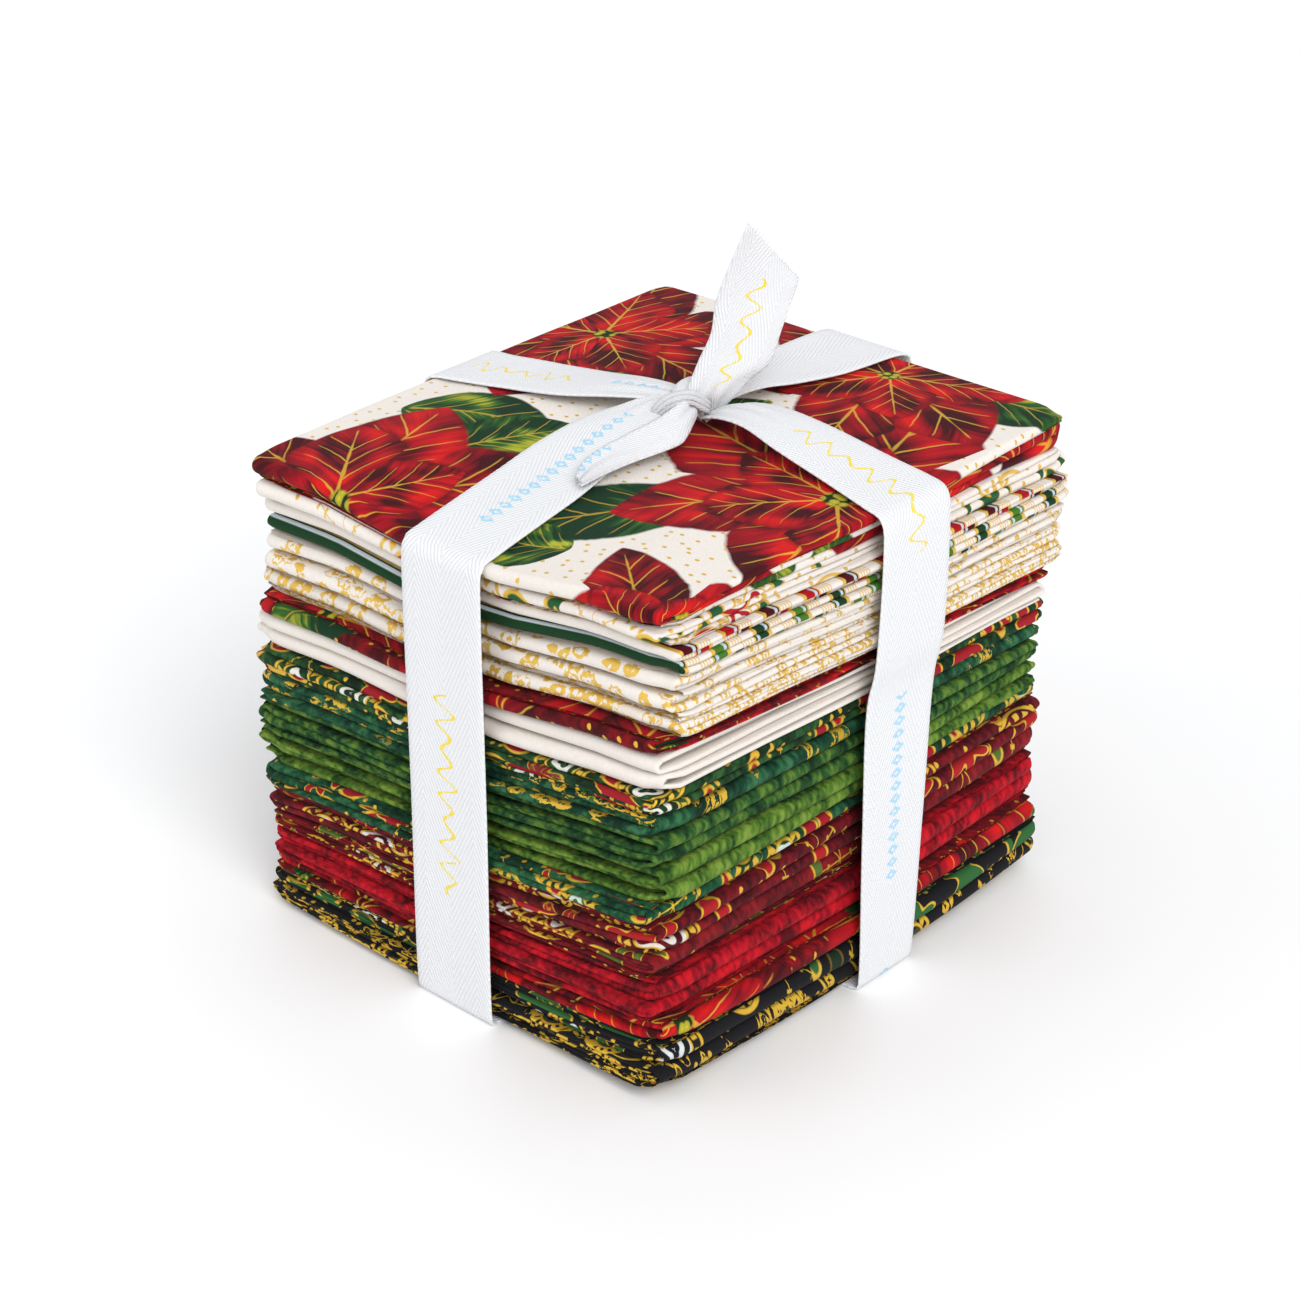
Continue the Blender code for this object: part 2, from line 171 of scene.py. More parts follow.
# Name, layers, the way the section runs, the end where the lowest layer is open (-1 low, 1
# high), the four sides, the plies' order, and the side on which they are first folded
QUARTERS = (
    ("black_gold", 3, "X", 1, -71.5, 72.0, -79.0, 73.5, FOURFOLD, -1),
    ("black_ornament", 3, "X", -1, -70.0, 72.5, -77.5, 74.0, FOURFOLD, -1),
    ("poinsettia_low", 3, "X", -1, -70.5, 72.0, -77.0, 72.5, HALVED, -1),
    ("red_low", 3, "X", 1, -68.0, 69.5, -79.0, 74.5, HALVED, -1),
    ("red_mid", 3, "X", -1, -69.5, 70.5, -77.5, 72.5, HALVED, -1),
    ("red_dark", 3, "X", 1, -68.0, 69.0, -78.5, 74.0, FOURFOLD, -1),
    ("brown_ornament", 5, "X", -1, -69.0, 70.5, -78.5, 74.5, PAIR, -1),
    ("teal_ornament", 3, "X", -1, -71.0, 69.5, -79.0, 71.5, HALVED, -1),
    ("green_light", 4, "X", -1, -75.5, 71.0, -76.5, 68.0, ZIGZAG, -1),
    ("green_leaf", 4, "X", -1, -73.5, 70.0, -78.5, 70.0, ZIGZAG, -1),
    ("teal_gold", 3, "X", -1, -72.0, 69.5, -78.0, 71.0, HALVED, -1),
    ("green_ornament", 4, "X", -1, -71.5, 70.0, -78.5, 71.5, LETTER, -1),
    ("cream_plain", 4, "Y", 1, -72.5, 70.5, -77.0, 70.0, ZIGZAG, 1),
    ("poinsettia_mid", 3, "Y", 1, -69.0, 70.0, -78.5, 74.0, FOURFOLD, 1),
    ("gold_heavy", 4, "Y", -1, -70.5, 74.0, -75.0, 72.5, LETTER, 1),
    ("gold_motif", 3, "Y", -1, -66.5, 72.5, -76.0, 76.0, HALVED, 1),
    ("gold_sparse", 3, "Y", -1, -65.5, 73.0, -75.0, 76.5, HALVED, 1),
    ("plaid", 5, "Y", -1, -67.0, 74.0, -75.5, 76.0, PAIR, 1),
    ("cream_mixed", 3, "Y", -1, -64.5, 71.5, -78.0, 77.0, HALVED, 1),
    ("poinsettia_top", 3, "Y", -1, -66.0, 71.0, -78.5, 76.0, HALVED, 1),
)
SPLAY = 0.42  # how far a fold swells past its plies' heights, in plies
RAW_IN = 1.6  # how far cut edges stay behind the folds beside them, in mm
FREE_IN = 2.2
FREE_THIN = 0.42  # height of an open layer at its end, against that of a folded one
THIN_REACH = 22.0
CORNER_X = 70.0  # where a quarter's corners are, and how much flatter the plies lie there
CORNER_Y = 76.0
PINCH = 0.26
PINCH_REACH = 8.0
CORNER_DRAW = 1.5  # how far a corner draws in, so that it is round from above
ROUND = 0.86  # how round a fold is: 1 is a half circle
BEND_WAVE = 1.2  # how uneven the folds of the layers and of the plies are, in mm
RIM_WAVE = 1.6
CUT_WAVE = 0.35
TURN_QUARTER = 2.4  # how the unevenness runs on, from quarter to quarter, layer to layer, and
TURN_LAYER = 1.9  # along a fold
TURN_ALONG = 0.045
FOLD_REACH = 4.0  # how far from a fold its plies begin to part, in mm


def wave(size, k, part, place=0.0):
    """How far an edge draws in, from 0 to size, uneven from layer to layer and along it."""
    return size * (0.5 + 0.5 * np.sin(TURN_QUARTER * k + TURN_LAYER * part + TURN_ALONG * place))


def stations(parts, flat_steps, bend_steps):
    """Stations along a folded strip: its part, how far it has turned, and the share along it."""
    rows = []
    for part in range(parts):
        for share in 0.5 - 0.5 * np.cos(np.pi * np.linspace(0.0, 1.0, flat_steps + 1)):
            rows.append((part, 0.0, share))
        if part < parts - 1:
            rows += [(part, math.pi * s / bend_steps, 1.0) for s in range(1, bend_steps)]
    part, turn, share = np.array(rows).T
    return part.astype(int), turn, share


def ply_heights(order, ply, turn, share, width):
    """Height of each station in its layer, in plies, and how far it bulges past the fold's line."""
    order = np.array(order, float)
    count = len(order)
    height = order[ply]
    bulge = np.zeros(len(ply))
    for p in range(count):
        flat = (ply == p) & (turn == 0.0)
        for other, gap in ((p + 1, 1.0 - share), (p - 1, share)):
            if 0 <= other < count:
                side = math.copysign(1.0, order[other] - order[p])
                near = ease(1.0 - gap * width / FOLD_REACH)
                height = np.where(flat, height - side * SPLAY * near, height)
        if p < count - 1:
            bend = (ply == p) & (turn > 0.0)
            half = (order[p + 1] - order[p]) / 2.0
            half += math.copysign(SPLAY, half)
            middle = (order[p] + order[p + 1]) / 2.0
            height = np.where(bend, middle - half * np.cos(turn), height)
            bulge = np.where(bend, abs(half) * np.sin(turn), bulge)
    return height, bulge


def layer_bounds(layers, open_end, end):
    """Shares of the height at which the layers part, at one end of the section."""
    weights = np.ones(layers)
    if open_end == end:
        weights[0] = FREE_THIN
    last_open = open_end if layers % 2 == 0 else -open_end
    if last_open == end:
        weights[-1] = FREE_THIN
    return np.concatenate([[0.0], np.cumsum(weights) / weights.sum()])


def fold_points(k, flat_steps, bend_steps):
    """Points of one folded quarter, in millimetres, with the sheet's own flat coordinates."""
    name, layers, run, open_end, left, right, front, back, order, facing = QUARTERS[k]
    ends = (left, right) if run == "X" else (front, back)
    rims = (front, back) if run == "X" else (left, right)
    plies = len(order)
    layer, turn, part = (a[:, None] for a in stations(layers, flat_steps, bend_steps))
    ply, roll, gone = (a[None, :] for a in stations(plies, flat_steps, bend_steps))
    height, bulge = ply_heights(order, ply[0], roll[0], gone[0], rims[1] - rims[0])
    height, bulge = height[None, :], bulge[None, :]
    offset = 2.0 * (height + 0.5) / plies - 1.0
    way = np.where(layer % 2 == 0, -open_end, open_end)  # the way each layer runs
    upward = np.where(layer % 2 == 0, 1.0, -1.0)
    rise = (1.0 - np.cos(turn)) / 2.0

    # Shares of the height at which this layer and the next begin and end, by place
    rough = np.where(way > 0, mix(*ends, part), mix(*ends, 1.0 - part))
    low_end = ease(1.0 - (rough - ends[0]) / THIN_REACH)
    high_end = ease(1.0 - (ends[1] - rough) / THIN_REACH)
    plain = np.linspace(0.0, 1.0, layers + 1)
    at_low = layer_bounds(layers, open_end, -1)
    at_high = layer_bounds(layers, open_end, 1)

    def bound(i):
        i = np.minimum(i, layers)
        return mix(mix(plain[i], at_low[i], low_end), at_high[i], high_end)

    half = (bound(layer + 1) - bound(layer)) / 2.0
    half_next = (bound(layer + 2) - bound(layer + 1)) / 2.0
    share_flat = bound(layer) + half * (1.0 + offset * upward)
    lower = half * (1.0 - offset * upward)
    upper = half_next * (1.0 - offset * upward)
    share_bend = bound(layer + 1) - np.where(turn < math.pi / 2.0, lower, upper) * np.cos(turn)
    share = np.where(turn > 0.0, share_bend, share_flat)

    def thick(place, cross):
        x, y = (place, cross) if run == "X" else (cross, place)
        return level(k + 1, x, y) - level(k, x, y)

    # Across the section: the plies' own folds and cut edges
    still = layer + rise
    rim_low = rims[0] + wave(RIM_WAVE, k, still)
    rim_high = rims[1] - wave(RIM_WAVE, k, still + 3.0)
    pitch = 2.0 * half * thick(rough, 0.0) / plies * ROUND
    swell = {}
    for side in (-1, 1):
        joined = [abs(order[p + 1] - order[p]) / 2.0 for p in range(plies - 1)
                  if (1 if p % 2 == 0 else -1) * facing == side]
        swell[side] = (max(joined) + SPLAY) if joined else 0.0
    low_line = rim_low + swell[-1] * pitch
    high_line = rim_high - swell[1] * pitch
    uneven = CUT_WAVE * np.sin(3.1 * ply + 1.7 * layer + 0.06 * rough + k)
    start_cut = np.where(ply == 0, RAW_IN, 0.0) + CUT_WAVE + uneven
    end_cut = np.where(ply == plies - 1, RAW_IN, 0.0) + CUT_WAVE + uneven
    ply_way = np.where(ply % 2 == 0, facing, -facing)
    begin = np.where(ply_way > 0, low_line + start_cut, high_line - start_cut)
    finish = np.where(ply_way > 0, high_line - end_cut, low_line + end_cut)
    cross = mix(begin, finish, gone) + ply_way * bulge * pitch

    # Down the section: its folds and open ends
    def end_line(i, side):
        """Where the fold that follows layer i begins, on the side that it is on."""
        body = np.clip((bound(i + 1) - bound(i)), 0.02, 1.0)
        deep = body * thick(np.where(side > 0, ends[1], ends[0]), cross) * ROUND
        low = ends[0] + wave(BEND_WAVE, k, i, cross) + deep
        high = ends[1] - wave(BEND_WAVE, k, i + 4.0, cross) - deep
        return np.where(side > 0, high, low)

    def open_line(side, i):
        low = ends[0] + FREE_IN + wave(BEND_WAVE, k, i, cross)
        high = ends[1] - FREE_IN - wave(BEND_WAVE, k, i + 4.0, cross)
        return np.where(side > 0, high, low)

    begin = np.where(layer == 0, open_line(-way, -1), end_line(layer - 1, -way))
    finish = np.where(layer == layers - 1, open_line(way, layer), end_line(layer, way))
    deep = (lower + upper) / 2.0 * thick(np.where(way > 0, ends[1], ends[0]), cross) * ROUND
    place = mix(begin, finish, part) + np.where(turn > 0.0, way * deep * np.sin(turn), 0.0)

    x, y = (place, cross) if run == "X" else (cross, place)
    corner_x = ease((np.abs(x) - (CORNER_X - PINCH_REACH)) / PINCH_REACH)
    corner_y = ease((np.abs(y) - (CORNER_Y - PINCH_REACH)) / PINCH_REACH)
    corner = corner_x * corner_y
    share = 0.5 + (share - 0.5) * (1.0 - PINCH * corner)
    x = x - np.sign(x) * CORNER_DRAW * corner
    y = y - np.sign(y) * CORNER_DRAW * corner
    z = mix(swayed(k, x, y), swayed(k + 1, x, y), share)
    return np.stack(np.broadcast_arrays(x + SHIFT_X, y + SHIFT_Y, z), axis=-1)


def flat_lengths(points):
    """The sheet's own flat coordinates: mean lengths down the section and across it."""
    down = np.linalg.norm(np.diff(points, axis=0), axis=-1).mean(axis=1)
    across = np.linalg.norm(np.diff(points, axis=1), axis=-1).mean(axis=0)
    return np.concatenate([[0.0], np.cumsum(down)]), np.concatenate([[0.0], np.cumsum(across)])


# %% [markdown]
# ## From points to a sheet
#
# Cloth is far thinner than it is wide, so a sheet with no thickness at all, seen from both
# sides, is enough: what shows is its folds. Each point keeps its place on the flat cloth as
# UV coordinates in metres, so a print runs on unbroken from ply to ply as it does in reality.

# %% Make a sheet's mesh
def new_object(name, data):
    made = bpy.data.objects.new(name, data)
    bpy.context.scene.collection.objects.link(made)
    return made


def sheet_mesh(name, points, u, v):
    """A grid of points as one smooth mesh, with UV coordinates u down and v across, in metres."""
    rows, columns = points.shape[:2]
    grid = np.arange(rows * columns).reshape(rows, columns)
    quads = np.stack([grid[:-1, :-1], grid[1:, :-1], grid[1:, 1:], grid[:-1, 1:]], axis=-1)
    quads = quads.reshape(-1, 4)
    mesh = bpy.data.meshes.new(name)
    mesh.from_pydata((points.reshape(-1, 3) * MM).tolist(), [], quads.tolist())
    flat = np.stack(np.broadcast_arrays(u[:, None], v[None, :]), axis=-1).reshape(-1, 2) * MM
    layer = mesh.uv_layers.new(name="cloth")
    layer.data.foreach_set("uv", flat[quads.reshape(-1)].astype(np.float32).ravel())
    mesh.shade_smooth()
    mesh.update()
    return new_object(name, mesh)


sheets = {}
for k, row in enumerate(QUARTERS):
    name, run = row[0], row[2]
    top = k == COUNT - 1
    points = fold_points(k, 44 if top else 24, 12 if top else 8)
    down, across = flat_lengths(points)
    u, v = (down, across) if run == "X" else (across, down)
    if run == "Y":
        points = points.transpose(1, 0, 2)
    sheets[name] = sheet_mesh(name + "_cloth", points, u, v)
    if top:
        # Where the middle of the stack's top lies on the flat cloth, and which way it faces
        away = np.abs(points[..., 0]) + np.abs(points[..., 1]) - 20.0 * points[..., 2]
        i, j = np.unravel_index(np.argmin(away), away.shape)
        flip_x = math.copysign(1.0, points[i + 1, j, 0] - points[i, j, 0])
        flip_y = math.copysign(1.0, points[i, j + 1, 1] - points[i, j, 1])
        start = (float(u[i]) - flip_x * points[i, j, 0], float(v[j]) - flip_y * points[i, j, 1])
        top_origin = (start, (flip_x, flip_y))
total = sum(len(s.data.polygons) for s in sheets.values()) * 2
print("sheets:", len(sheets), "triangles:", total, "top's place on its cloth:", top_origin)

# %% [markdown]
# ## The tape
#
# Herringbone twill tape, one inch wide, goes once round the stack each way and is knotted on
# top. It is firm cotton: it bends sharply over the stack's edges, narrows and arches where the
# knot gathers it, and lies flat elsewhere. Tables give its route, as a maker would mark it on
# the stack, and a smooth curve goes through their rows.

# %% Routes of the tape
TAPE_WIDE = 25.4
TAPE_THICK = 0.7
AIR = 1.0  # height of a band's middle over the cloth
CLOSER = 0.35  # how much nearer to the cloth the woven tape lies than its solid does
PLEATS = 3.0
PLEAT_EXTRA = 0.10  # how much longer than its width a gathered tape is across
PLEAT_BELOW = 17.0  # the width below which pleats rise, and how soon they are full
PLEAT_FADE = 7.0
TOP_MIDDLE = 2.0  # the flat part of the top, where the tape must stay clear of the cloth
TOP_HALF_X = 64.0
TOP_HALF_Y = 72.0
TOP_FROM = 100.0

FRONT_BACK = (
    # y, height, from the cloth?, middle x, width if not full, crown if any
    (4.5, 4.6, True, 3.0, 7.0, 1.0),
    (-0.8, 5.0, True, 1.0, 11.0, 1.2),
    (-8.0, 4.8, True, 0.0, 15.0, 1.2),
    (-17.0, 3.8, True, -1.0, 19.5, 1.0),
    (-30.0, 2.0, True, -0.5, 24.0, 0.4),
    (-46.0, AIR, True, 1.5),
    (-66.0, AIR, True, 3.5),
    (-75.0, 0.9, True, 4.0),
    (-78.2, 0.2, True, 4.0),
    (-79.6, -1.8, True, 4.0),
    (-79.9, -5.0, True, 4.0),
    (-79.9, 60.0, False, 4.0),
    (-79.9, 2.0, False, 4.0),
    (-79.5, 0.9, False, 4.0),
    (-78.4, 0.5, False, 4.0),
    (0.0, 0.5, False, 4.0),
    (74.3, 0.5, False, 4.0),
    (75.4, 0.9, False, 4.0),
    (75.8, 2.0, False, 4.0),
    (75.8, 86.0, False, 4.0),
    (78.4, 97.0, False, 4.0),
    (78.4, -4.0, True, 4.0),
    (77.8, -0.8, True, 4.0),
    (75.0, 0.9, True, 4.0),
    (52.0, AIR, True, 4.0, 24.0),
    (36.0, 2.4, True, 4.0, 19.0, 0.6),
    (26.0, 4.2, True, 5.0, 14.0, 1.2),
    (18.9, 5.0, True, 6.0, 11.0, 1.2),
    (12.0, 5.0, True, 7.0, 8.0, 1.0),
)
CROSS_LOW = 0.5  # height of the band under the stack, and where it passes over the other
CROSS_HIGH = 1.85
LEFT_RIGHT = (
    # x, height, from the cloth?, middle y, width if not full, crown if any
    (-0.5, 5.0, True, 6.0, 8.0, 1.0),
    (-5.8, 5.0, True, 5.0, 11.0, 1.2),
    (-14.0, 4.4, True, 3.0, 14.5, 1.2),
    (-26.0, 2.6, True, 0.5, 18.0, 0.8),
    (-42.0, AIR, True, -1.5, 20.0, 0.2),
    (-58.0, AIR, True, -4.0, 21.0),
    (-64.2, 0.9, True, -4.0, 22.0),
    (-67.2, -0.2, True, -4.0, 23.0),
    (-68.1, -9.0, True, -3.5, 24.0),
    (-68.1, 101.0, False, -2.0),
    (-71.6, 94.0, False, -1.0),
    (-74.2, 76.0, False, 0.0),
    (-76.4, 58.0, False, 2.0),
    (-76.4, 46.0, False, 3.0),
    (-72.4, 30.0, False, 4.0),
    (-72.4, 2.0, False, 6.0),
    (-72.0, 0.9, False, 6.0),
    (-70.9, CROSS_LOW, False, 6.0),
    (-23.0, CROSS_LOW, False, 6.0),
    (-12.0, CROSS_HIGH, False, 6.0),
    (20.0, CROSS_HIGH, False, 4.0),
    (31.0, CROSS_LOW, False, 3.5, 24.0),
    (71.9, CROSS_LOW, False, 3.5, 21.0),
    (73.0, 0.9, False, 3.5, 20.5),
    (73.4, 2.0, False, 3.5, 20.5),
    (73.4, 45.0, False, 4.5, 23.5),
    (73.4, 82.0, False, 5.5),
    (75.0, 92.0, False, 6.0),
    (75.0, -6.5, True, 7.0, 24.5),
    (74.2, -2.0, True, 7.5, 24.5),
    (72.4, 0.1, True, 7.8, 24.5),
    (69.0, 1.0, True, 8.0, 24.5),
    (56.0, 1.6, True, 8.5, 22.0, 0.3),
    (38.0, 4.0, True, 8.5, 19.0, 0.8),
    (25.0, 5.4, True, 9.0, 14.5, 1.2),
    (15.8, 4.6, True, 8.6, 11.5, 1.2),
    (10.6, 3.0, True, 6.6, 7.0, 1.0),
)
STANDING_END = (
    # left x and y, right x and y, left and right height, how far its middle swells
    (9.0, 4.6, 10.7, 4.9, 133.6, 133.6, 0.2),
    (6.9, 4.1, 11.1, 9.7, 136.0, 135.2, 1.8),
    (6.6, 1.9, 13.9, 11.7, 139.6, 139.5, 2.6),
    (6.4, 3.5, 15.6, 15.4, 142.4, 143.0, 2.4),
    (4.6, 9.0, 18.2, 19.0, 146.6, 146.6, 1.4),
    (4.2, 14.0, 18.2, 23.2, 152.3, 153.9, 0.5),
    (3.2, 17.0, 17.3, 27.5, 159.8, 159.4, 0.0),
    (5.5, 21.2, 16.7, 30.4, 171.6, 162.7, -0.5),
    (7.4, 23.4, 15.9, 32.4, 178.8, 164.5, -0.8),
)
LYING_END = (
    # left x and y, right x and y, left and right height, how far its middle swells
    (9.4, -1.8, 11.5, 0.3, 140.2, 137.0, 0.8),
    (9.6, -5.1, 13.9, -3.7, 139.6, 136.8, 1.5),
    (9.0, -9.4, 16.4, -8.5, 138.8, 136.2, 1.5),
    (8.4, -13.9, 17.7, -12.6, 138.0, 135.4, 1.2),
    (7.2, -19.9, 16.2, -18.9, 136.9, 134.6, 0.8),
    (6.8, -27.4, 14.0, -27.2, 135.8, 133.8, 0.5),
    (7.7, -35.0, 13.4, -35.4, 134.6, 133.4, 0.3),
    (10.8, -41.1, 13.7, -42.4, 133.6, 133.2, 0.0),
)
KNOT_STRAP = (
    # back x and y, front x and y, back and front height, how far its middle swells
    (11.4, 5.4, 11.8, 4.2, 138.6, 136.4, 0.3),
    (9.4, 1.6, 11.4, 1.4, 142.0, 138.0, 0.9),
    (7.8, -1.0, 10.6, -0.5, 142.4, 139.6, 1.1),
    (6.0, -3.0, 9.2, -2.9, 141.8, 139.8, 1.1),
    (4.3, -5.0, 7.4, -4.6, 140.4, 138.8, 0.9),
    (3.4, -6.4, 5.8, -6.2, 138.4, 137.2, 0.6),
    (2.8, -7.2, 4.4, -7.6, 136.4, 136.0, 0.2),
)
TOWARDS_VIEW = (0.60, -0.65, 0.47)  # the side to which the knot's pieces swell


def top(x, y):
    return level(COUNT, x, y)


def through(rows, step):
    """Points of a smooth curve through rows of numbers, about a step apart in their distance."""
    rows = np.array(rows, float)
    padded = np.concatenate([[2 * rows[0] - rows[1]], rows, [2 * rows[-1] - rows[-2]]])
    knots = [0.0]
    for a, b in zip(padded[:-1], padded[1:]):
        knots.append(knots[-1] + max(np.linalg.norm(b - a), 0.01) ** 0.5)
    made = []
    for i in range(len(rows) - 1):
        p0, p1, p2, p3 = padded[i : i + 4]
        t0, t1, t2, t3 = knots[i : i + 4]
        count = max(1, int(math.ceil(np.linalg.norm(p2 - p1) / step)))
        for t in np.linspace(t1, t2, count, endpoint=False):
            a1 = mix(p0, p1, (t - t0) / (t1 - t0))
            a2 = mix(p1, p2, (t - t1) / (t2 - t1))
            a3 = mix(p2, p3, (t - t2) / (t3 - t2))
            b1 = mix(a1, a2, (t - t0) / (t2 - t0))
            b2 = mix(a2, a3, (t - t1) / (t3 - t1))
            made.append(mix(b1, b2, (t - t1) / (t2 - t1)))
    made.append(rows[-1])
    return np.array(made)


def band_rows(table, along_y, columns=17, step=2.5):
    """The band's surface: for each place of its route, points from one edge to the other."""
    sides = np.linspace(-1.0, 1.0, columns)
    coarse = []
    for along, height, on_cloth, middle, *shape in table:
        wide, crown = shape + [TAPE_WIDE, 0.0][len(shape):]
        across = middle + sides * wide / 2.0
        x, y = (across, np.full(columns, along)) if along_y else (np.full(columns, along), across)
        z = height + crown * (1.0 - sides**2)
        if on_cloth:
            base = (middle, along) if along_y else (along, middle)
            z = z + np.maximum(top(x, y), top(*base)) - CLOSER * ease(height)
        coarse.append(np.stack([x, y, z], axis=-1).ravel())
    smooth = through(coarse, step * columns**0.5).reshape(-1, columns, 3)
    lift = smooth[..., 2] - top(smooth[..., 0], smooth[..., 1])
    inside = (np.abs(smooth[..., 0] - TOP_MIDDLE) < TOP_HALF_X) & (np.abs(smooth[..., 1]) < TOP_HALF_Y)
    low = inside & (smooth[..., 2] > TOP_FROM) & (lift < AIR - CLOSER)
    smooth[..., 2] = np.where(low, smooth[..., 2] + (AIR - CLOSER - lift), smooth[..., 2])
    smooth[..., 2] = np.maximum(smooth[..., 2], TAPE_THICK / 2.0 + 0.1)
    return smooth


DOUBLED = 1.4  # how far apart the two plies of a tape lie that is folded along its length


def end_rows(table, swell, doubled=False, columns=17, step=1.5):
    """A free end from its table: the two edges of each row, and its middle swollen out.

    A doubled end is folded along its left edge, with half of its width tucked under."""
    coarse = []
    for left_x, left_y, right_x, right_y, left_z, right_z, out in table:
        left = np.array((left_x, left_y, left_z))
        right = np.array((right_x, right_y, right_z))
        coarse.append(np.concatenate([left, right, out * np.array(swell)]))
    smooth = through(coarse, step).reshape(-1, 3, 3)
    side = np.linspace(-1.0, 1.0, columns)
    under = np.zeros(columns)
    if doubled:
        side = np.concatenate([np.linspace(0.8, -0.9, 10), [-1.0], np.linspace(-0.9, 1.0, 13)])
        under = np.concatenate([np.full(10, -DOUBLED), [-DOUBLED / 2.0], np.zeros(13)])
    side, under = side[None, :, None], under[None, :, None]
    left, right, out = smooth[:, :1], smooth[:, 1:2], smooth[:, 2:]
    flat = mix(left, right, (side + 1.0) / 2.0) + out * (1.0 - side**2)
    return flat + under * np.array(swell)


def facing_out(rows):
    """Unit vectors across a tape and out of its face."""
    along = np.gradient(rows, axis=0)
    across = np.gradient(rows, axis=1)
    normal = np.cross(across, along)
    normal /= np.linalg.norm(normal, axis=-1, keepdims=True)
    return across / np.linalg.norm(across, axis=-1, keepdims=True), normal


def pleated(rows, face):
    """Soft pleats where a tape is drawn in to less than its width, rising from its face."""
    wide = np.linalg.norm(np.diff(rows, axis=1), axis=-1).sum(axis=1)[:, None]
    extra = PLEAT_EXTRA * ease((PLEAT_BELOW - wide) / PLEAT_FADE)
    high = wide / PLEATS / math.pi * np.sqrt(extra)
    side = np.linspace(0.0, 1.0, rows.shape[1])[None, :]
    rise = high * (1.0 - np.cos(2.0 * math.pi * PLEATS * side))
    return rows + facing_out(rows)[1] * face * rise[..., None]


def tape_mesh(name, rows, face):
    """A tape with its real thickness, rounded at the edges, closed all round."""
    rows = pleated(rows, face)
    outward, normal = facing_out(rows)
    half = TAPE_THICK / 2.0
    over = rows + normal * half
    under = (rows - normal * half)[:, ::-1]
    right = rows[:, -1:] + outward[:, -1:] * half
    left = rows[:, :1] - outward[:, :1] * half
    loop = np.concatenate([over, right, under, left, over[:, :1]], axis=1) + (SHIFT_X, SHIFT_Y, 0.0)
    columns = rows.shape[1]
    wide = np.linspace(0.0, TAPE_WIDE, columns)
    v = np.concatenate([wide, [TAPE_WIDE], wide[::-1], [0.0], [0.0]])
    long = np.linalg.norm(np.diff(rows[:, columns // 2], axis=0), axis=-1)
    u = np.concatenate([[0.0], np.cumsum(long)])
    made = sheet_mesh(name, loop, u, v)
    close_mesh(made)
    return made, float(u[-1])


def close_mesh(thing):
    """Joins the sheet's meeting rows and closes its two cut ends, facing outwards."""
    shape = bmesh.new()
    shape.from_mesh(thing.data)
    bmesh.ops.remove_doubles(shape, verts=shape.verts, dist=1e-6)
    rims = [e for e in shape.edges if e.is_boundary]
    bmesh.ops.holes_fill(shape, edges=rims, sides=0)
    caps = [f for f in shape.faces if len(f.verts) > 4]
    bmesh.ops.triangulate(shape, faces=caps)
    bmesh.ops.recalc_face_normals(shape, faces=shape.faces)
    shape.to_mesh(thing.data)
    shape.free()
    thing.data.shade_smooth()


tapes = {}
lengths = {}
routes = {}
for name, rows, face in (
    ("ribbon_front_back", band_rows(FRONT_BACK, True), -1.0),
    ("ribbon_left_right", band_rows(LEFT_RIGHT, False), -1.0),
    ("ribbon_end_standing", end_rows(STANDING_END, TOWARDS_VIEW), -1.0),
    ("ribbon_end_lying", end_rows(LYING_END, TOWARDS_VIEW, doubled=True), -1.0),
):
    routes[name] = rows
    tapes[name], lengths[name] = tape_mesh(name + "_tape", rows, face)
print("tape lengths in mm:", {n: round(v) for n, v in lengths.items()})

# %% [markdown]
# ## The knot
#
# One end of the tape is wrapped once round the crossing and pulled tight. From the front one
# sees that wrap as a short strap that runs down to the left, with the standing end rising
# behind its top and the lying end slipping out below it. A small rounded lump fills the inside.

# %% The knot
KNOT_LENGTH = 16.0  # how much of the strap shows
KNOT_MIDDLE = (5.0, 8.0, 137.6)
KNOT_HALF = (6.5, 5.2, 5.0)
KNOT_ROUND = 36.0
KNOT_SLANT = math.radians(35.0)


def lump_points(rings=16, segments=32):
    """The rounded filling of the knot, without its cotton's thickness."""
    climb = np.linspace(0.0, math.pi, rings + 1)[:, None]
    turn = np.linspace(0.0, 2.0 * math.pi, segments + 1)[None, :]
    x = np.sin(climb) * np.cos(turn) * KNOT_HALF[0]
    y = np.sin(climb) * np.sin(turn) * KNOT_HALF[1]
    z = -np.cos(climb) * np.ones_like(turn) * KNOT_HALF[2]
    return np.stack(
        [
            KNOT_MIDDLE[0] + x * math.cos(KNOT_SLANT) - y * math.sin(KNOT_SLANT) + SHIFT_X,
            KNOT_MIDDLE[1] + x * math.sin(KNOT_SLANT) + y * math.cos(KNOT_SLANT) + SHIFT_Y,
            KNOT_MIDDLE[2] + z,
        ],
        axis=-1,
    )


def joined(name, pieces):
    """Several objects as one."""
    shape = bmesh.new()
    for piece in pieces:
        shape.from_mesh(piece.data)
        bpy.data.objects.remove(piece)
    mesh = bpy.data.meshes.new(name)
    shape.to_mesh(mesh)
    shape.free()
    mesh.shade_smooth()
    return new_object(name, mesh)


strap, _ = tape_mesh("strap", end_rows(KNOT_STRAP, TOWARDS_VIEW), -1.0)
points = lump_points()
down = np.linspace(0.0, KNOT_LENGTH, points.shape[0])
around = np.linspace(0.0, KNOT_ROUND, points.shape[1])
lump = sheet_mesh("lump", points, down, around)
close_mesh(lump)
tapes["ribbon_knot"] = joined("ribbon_knot_tape", [strap, lump])
lengths["ribbon_knot"] = KNOT_LENGTH
print("knot faces:", len(tapes["ribbon_knot"].data.polygons))

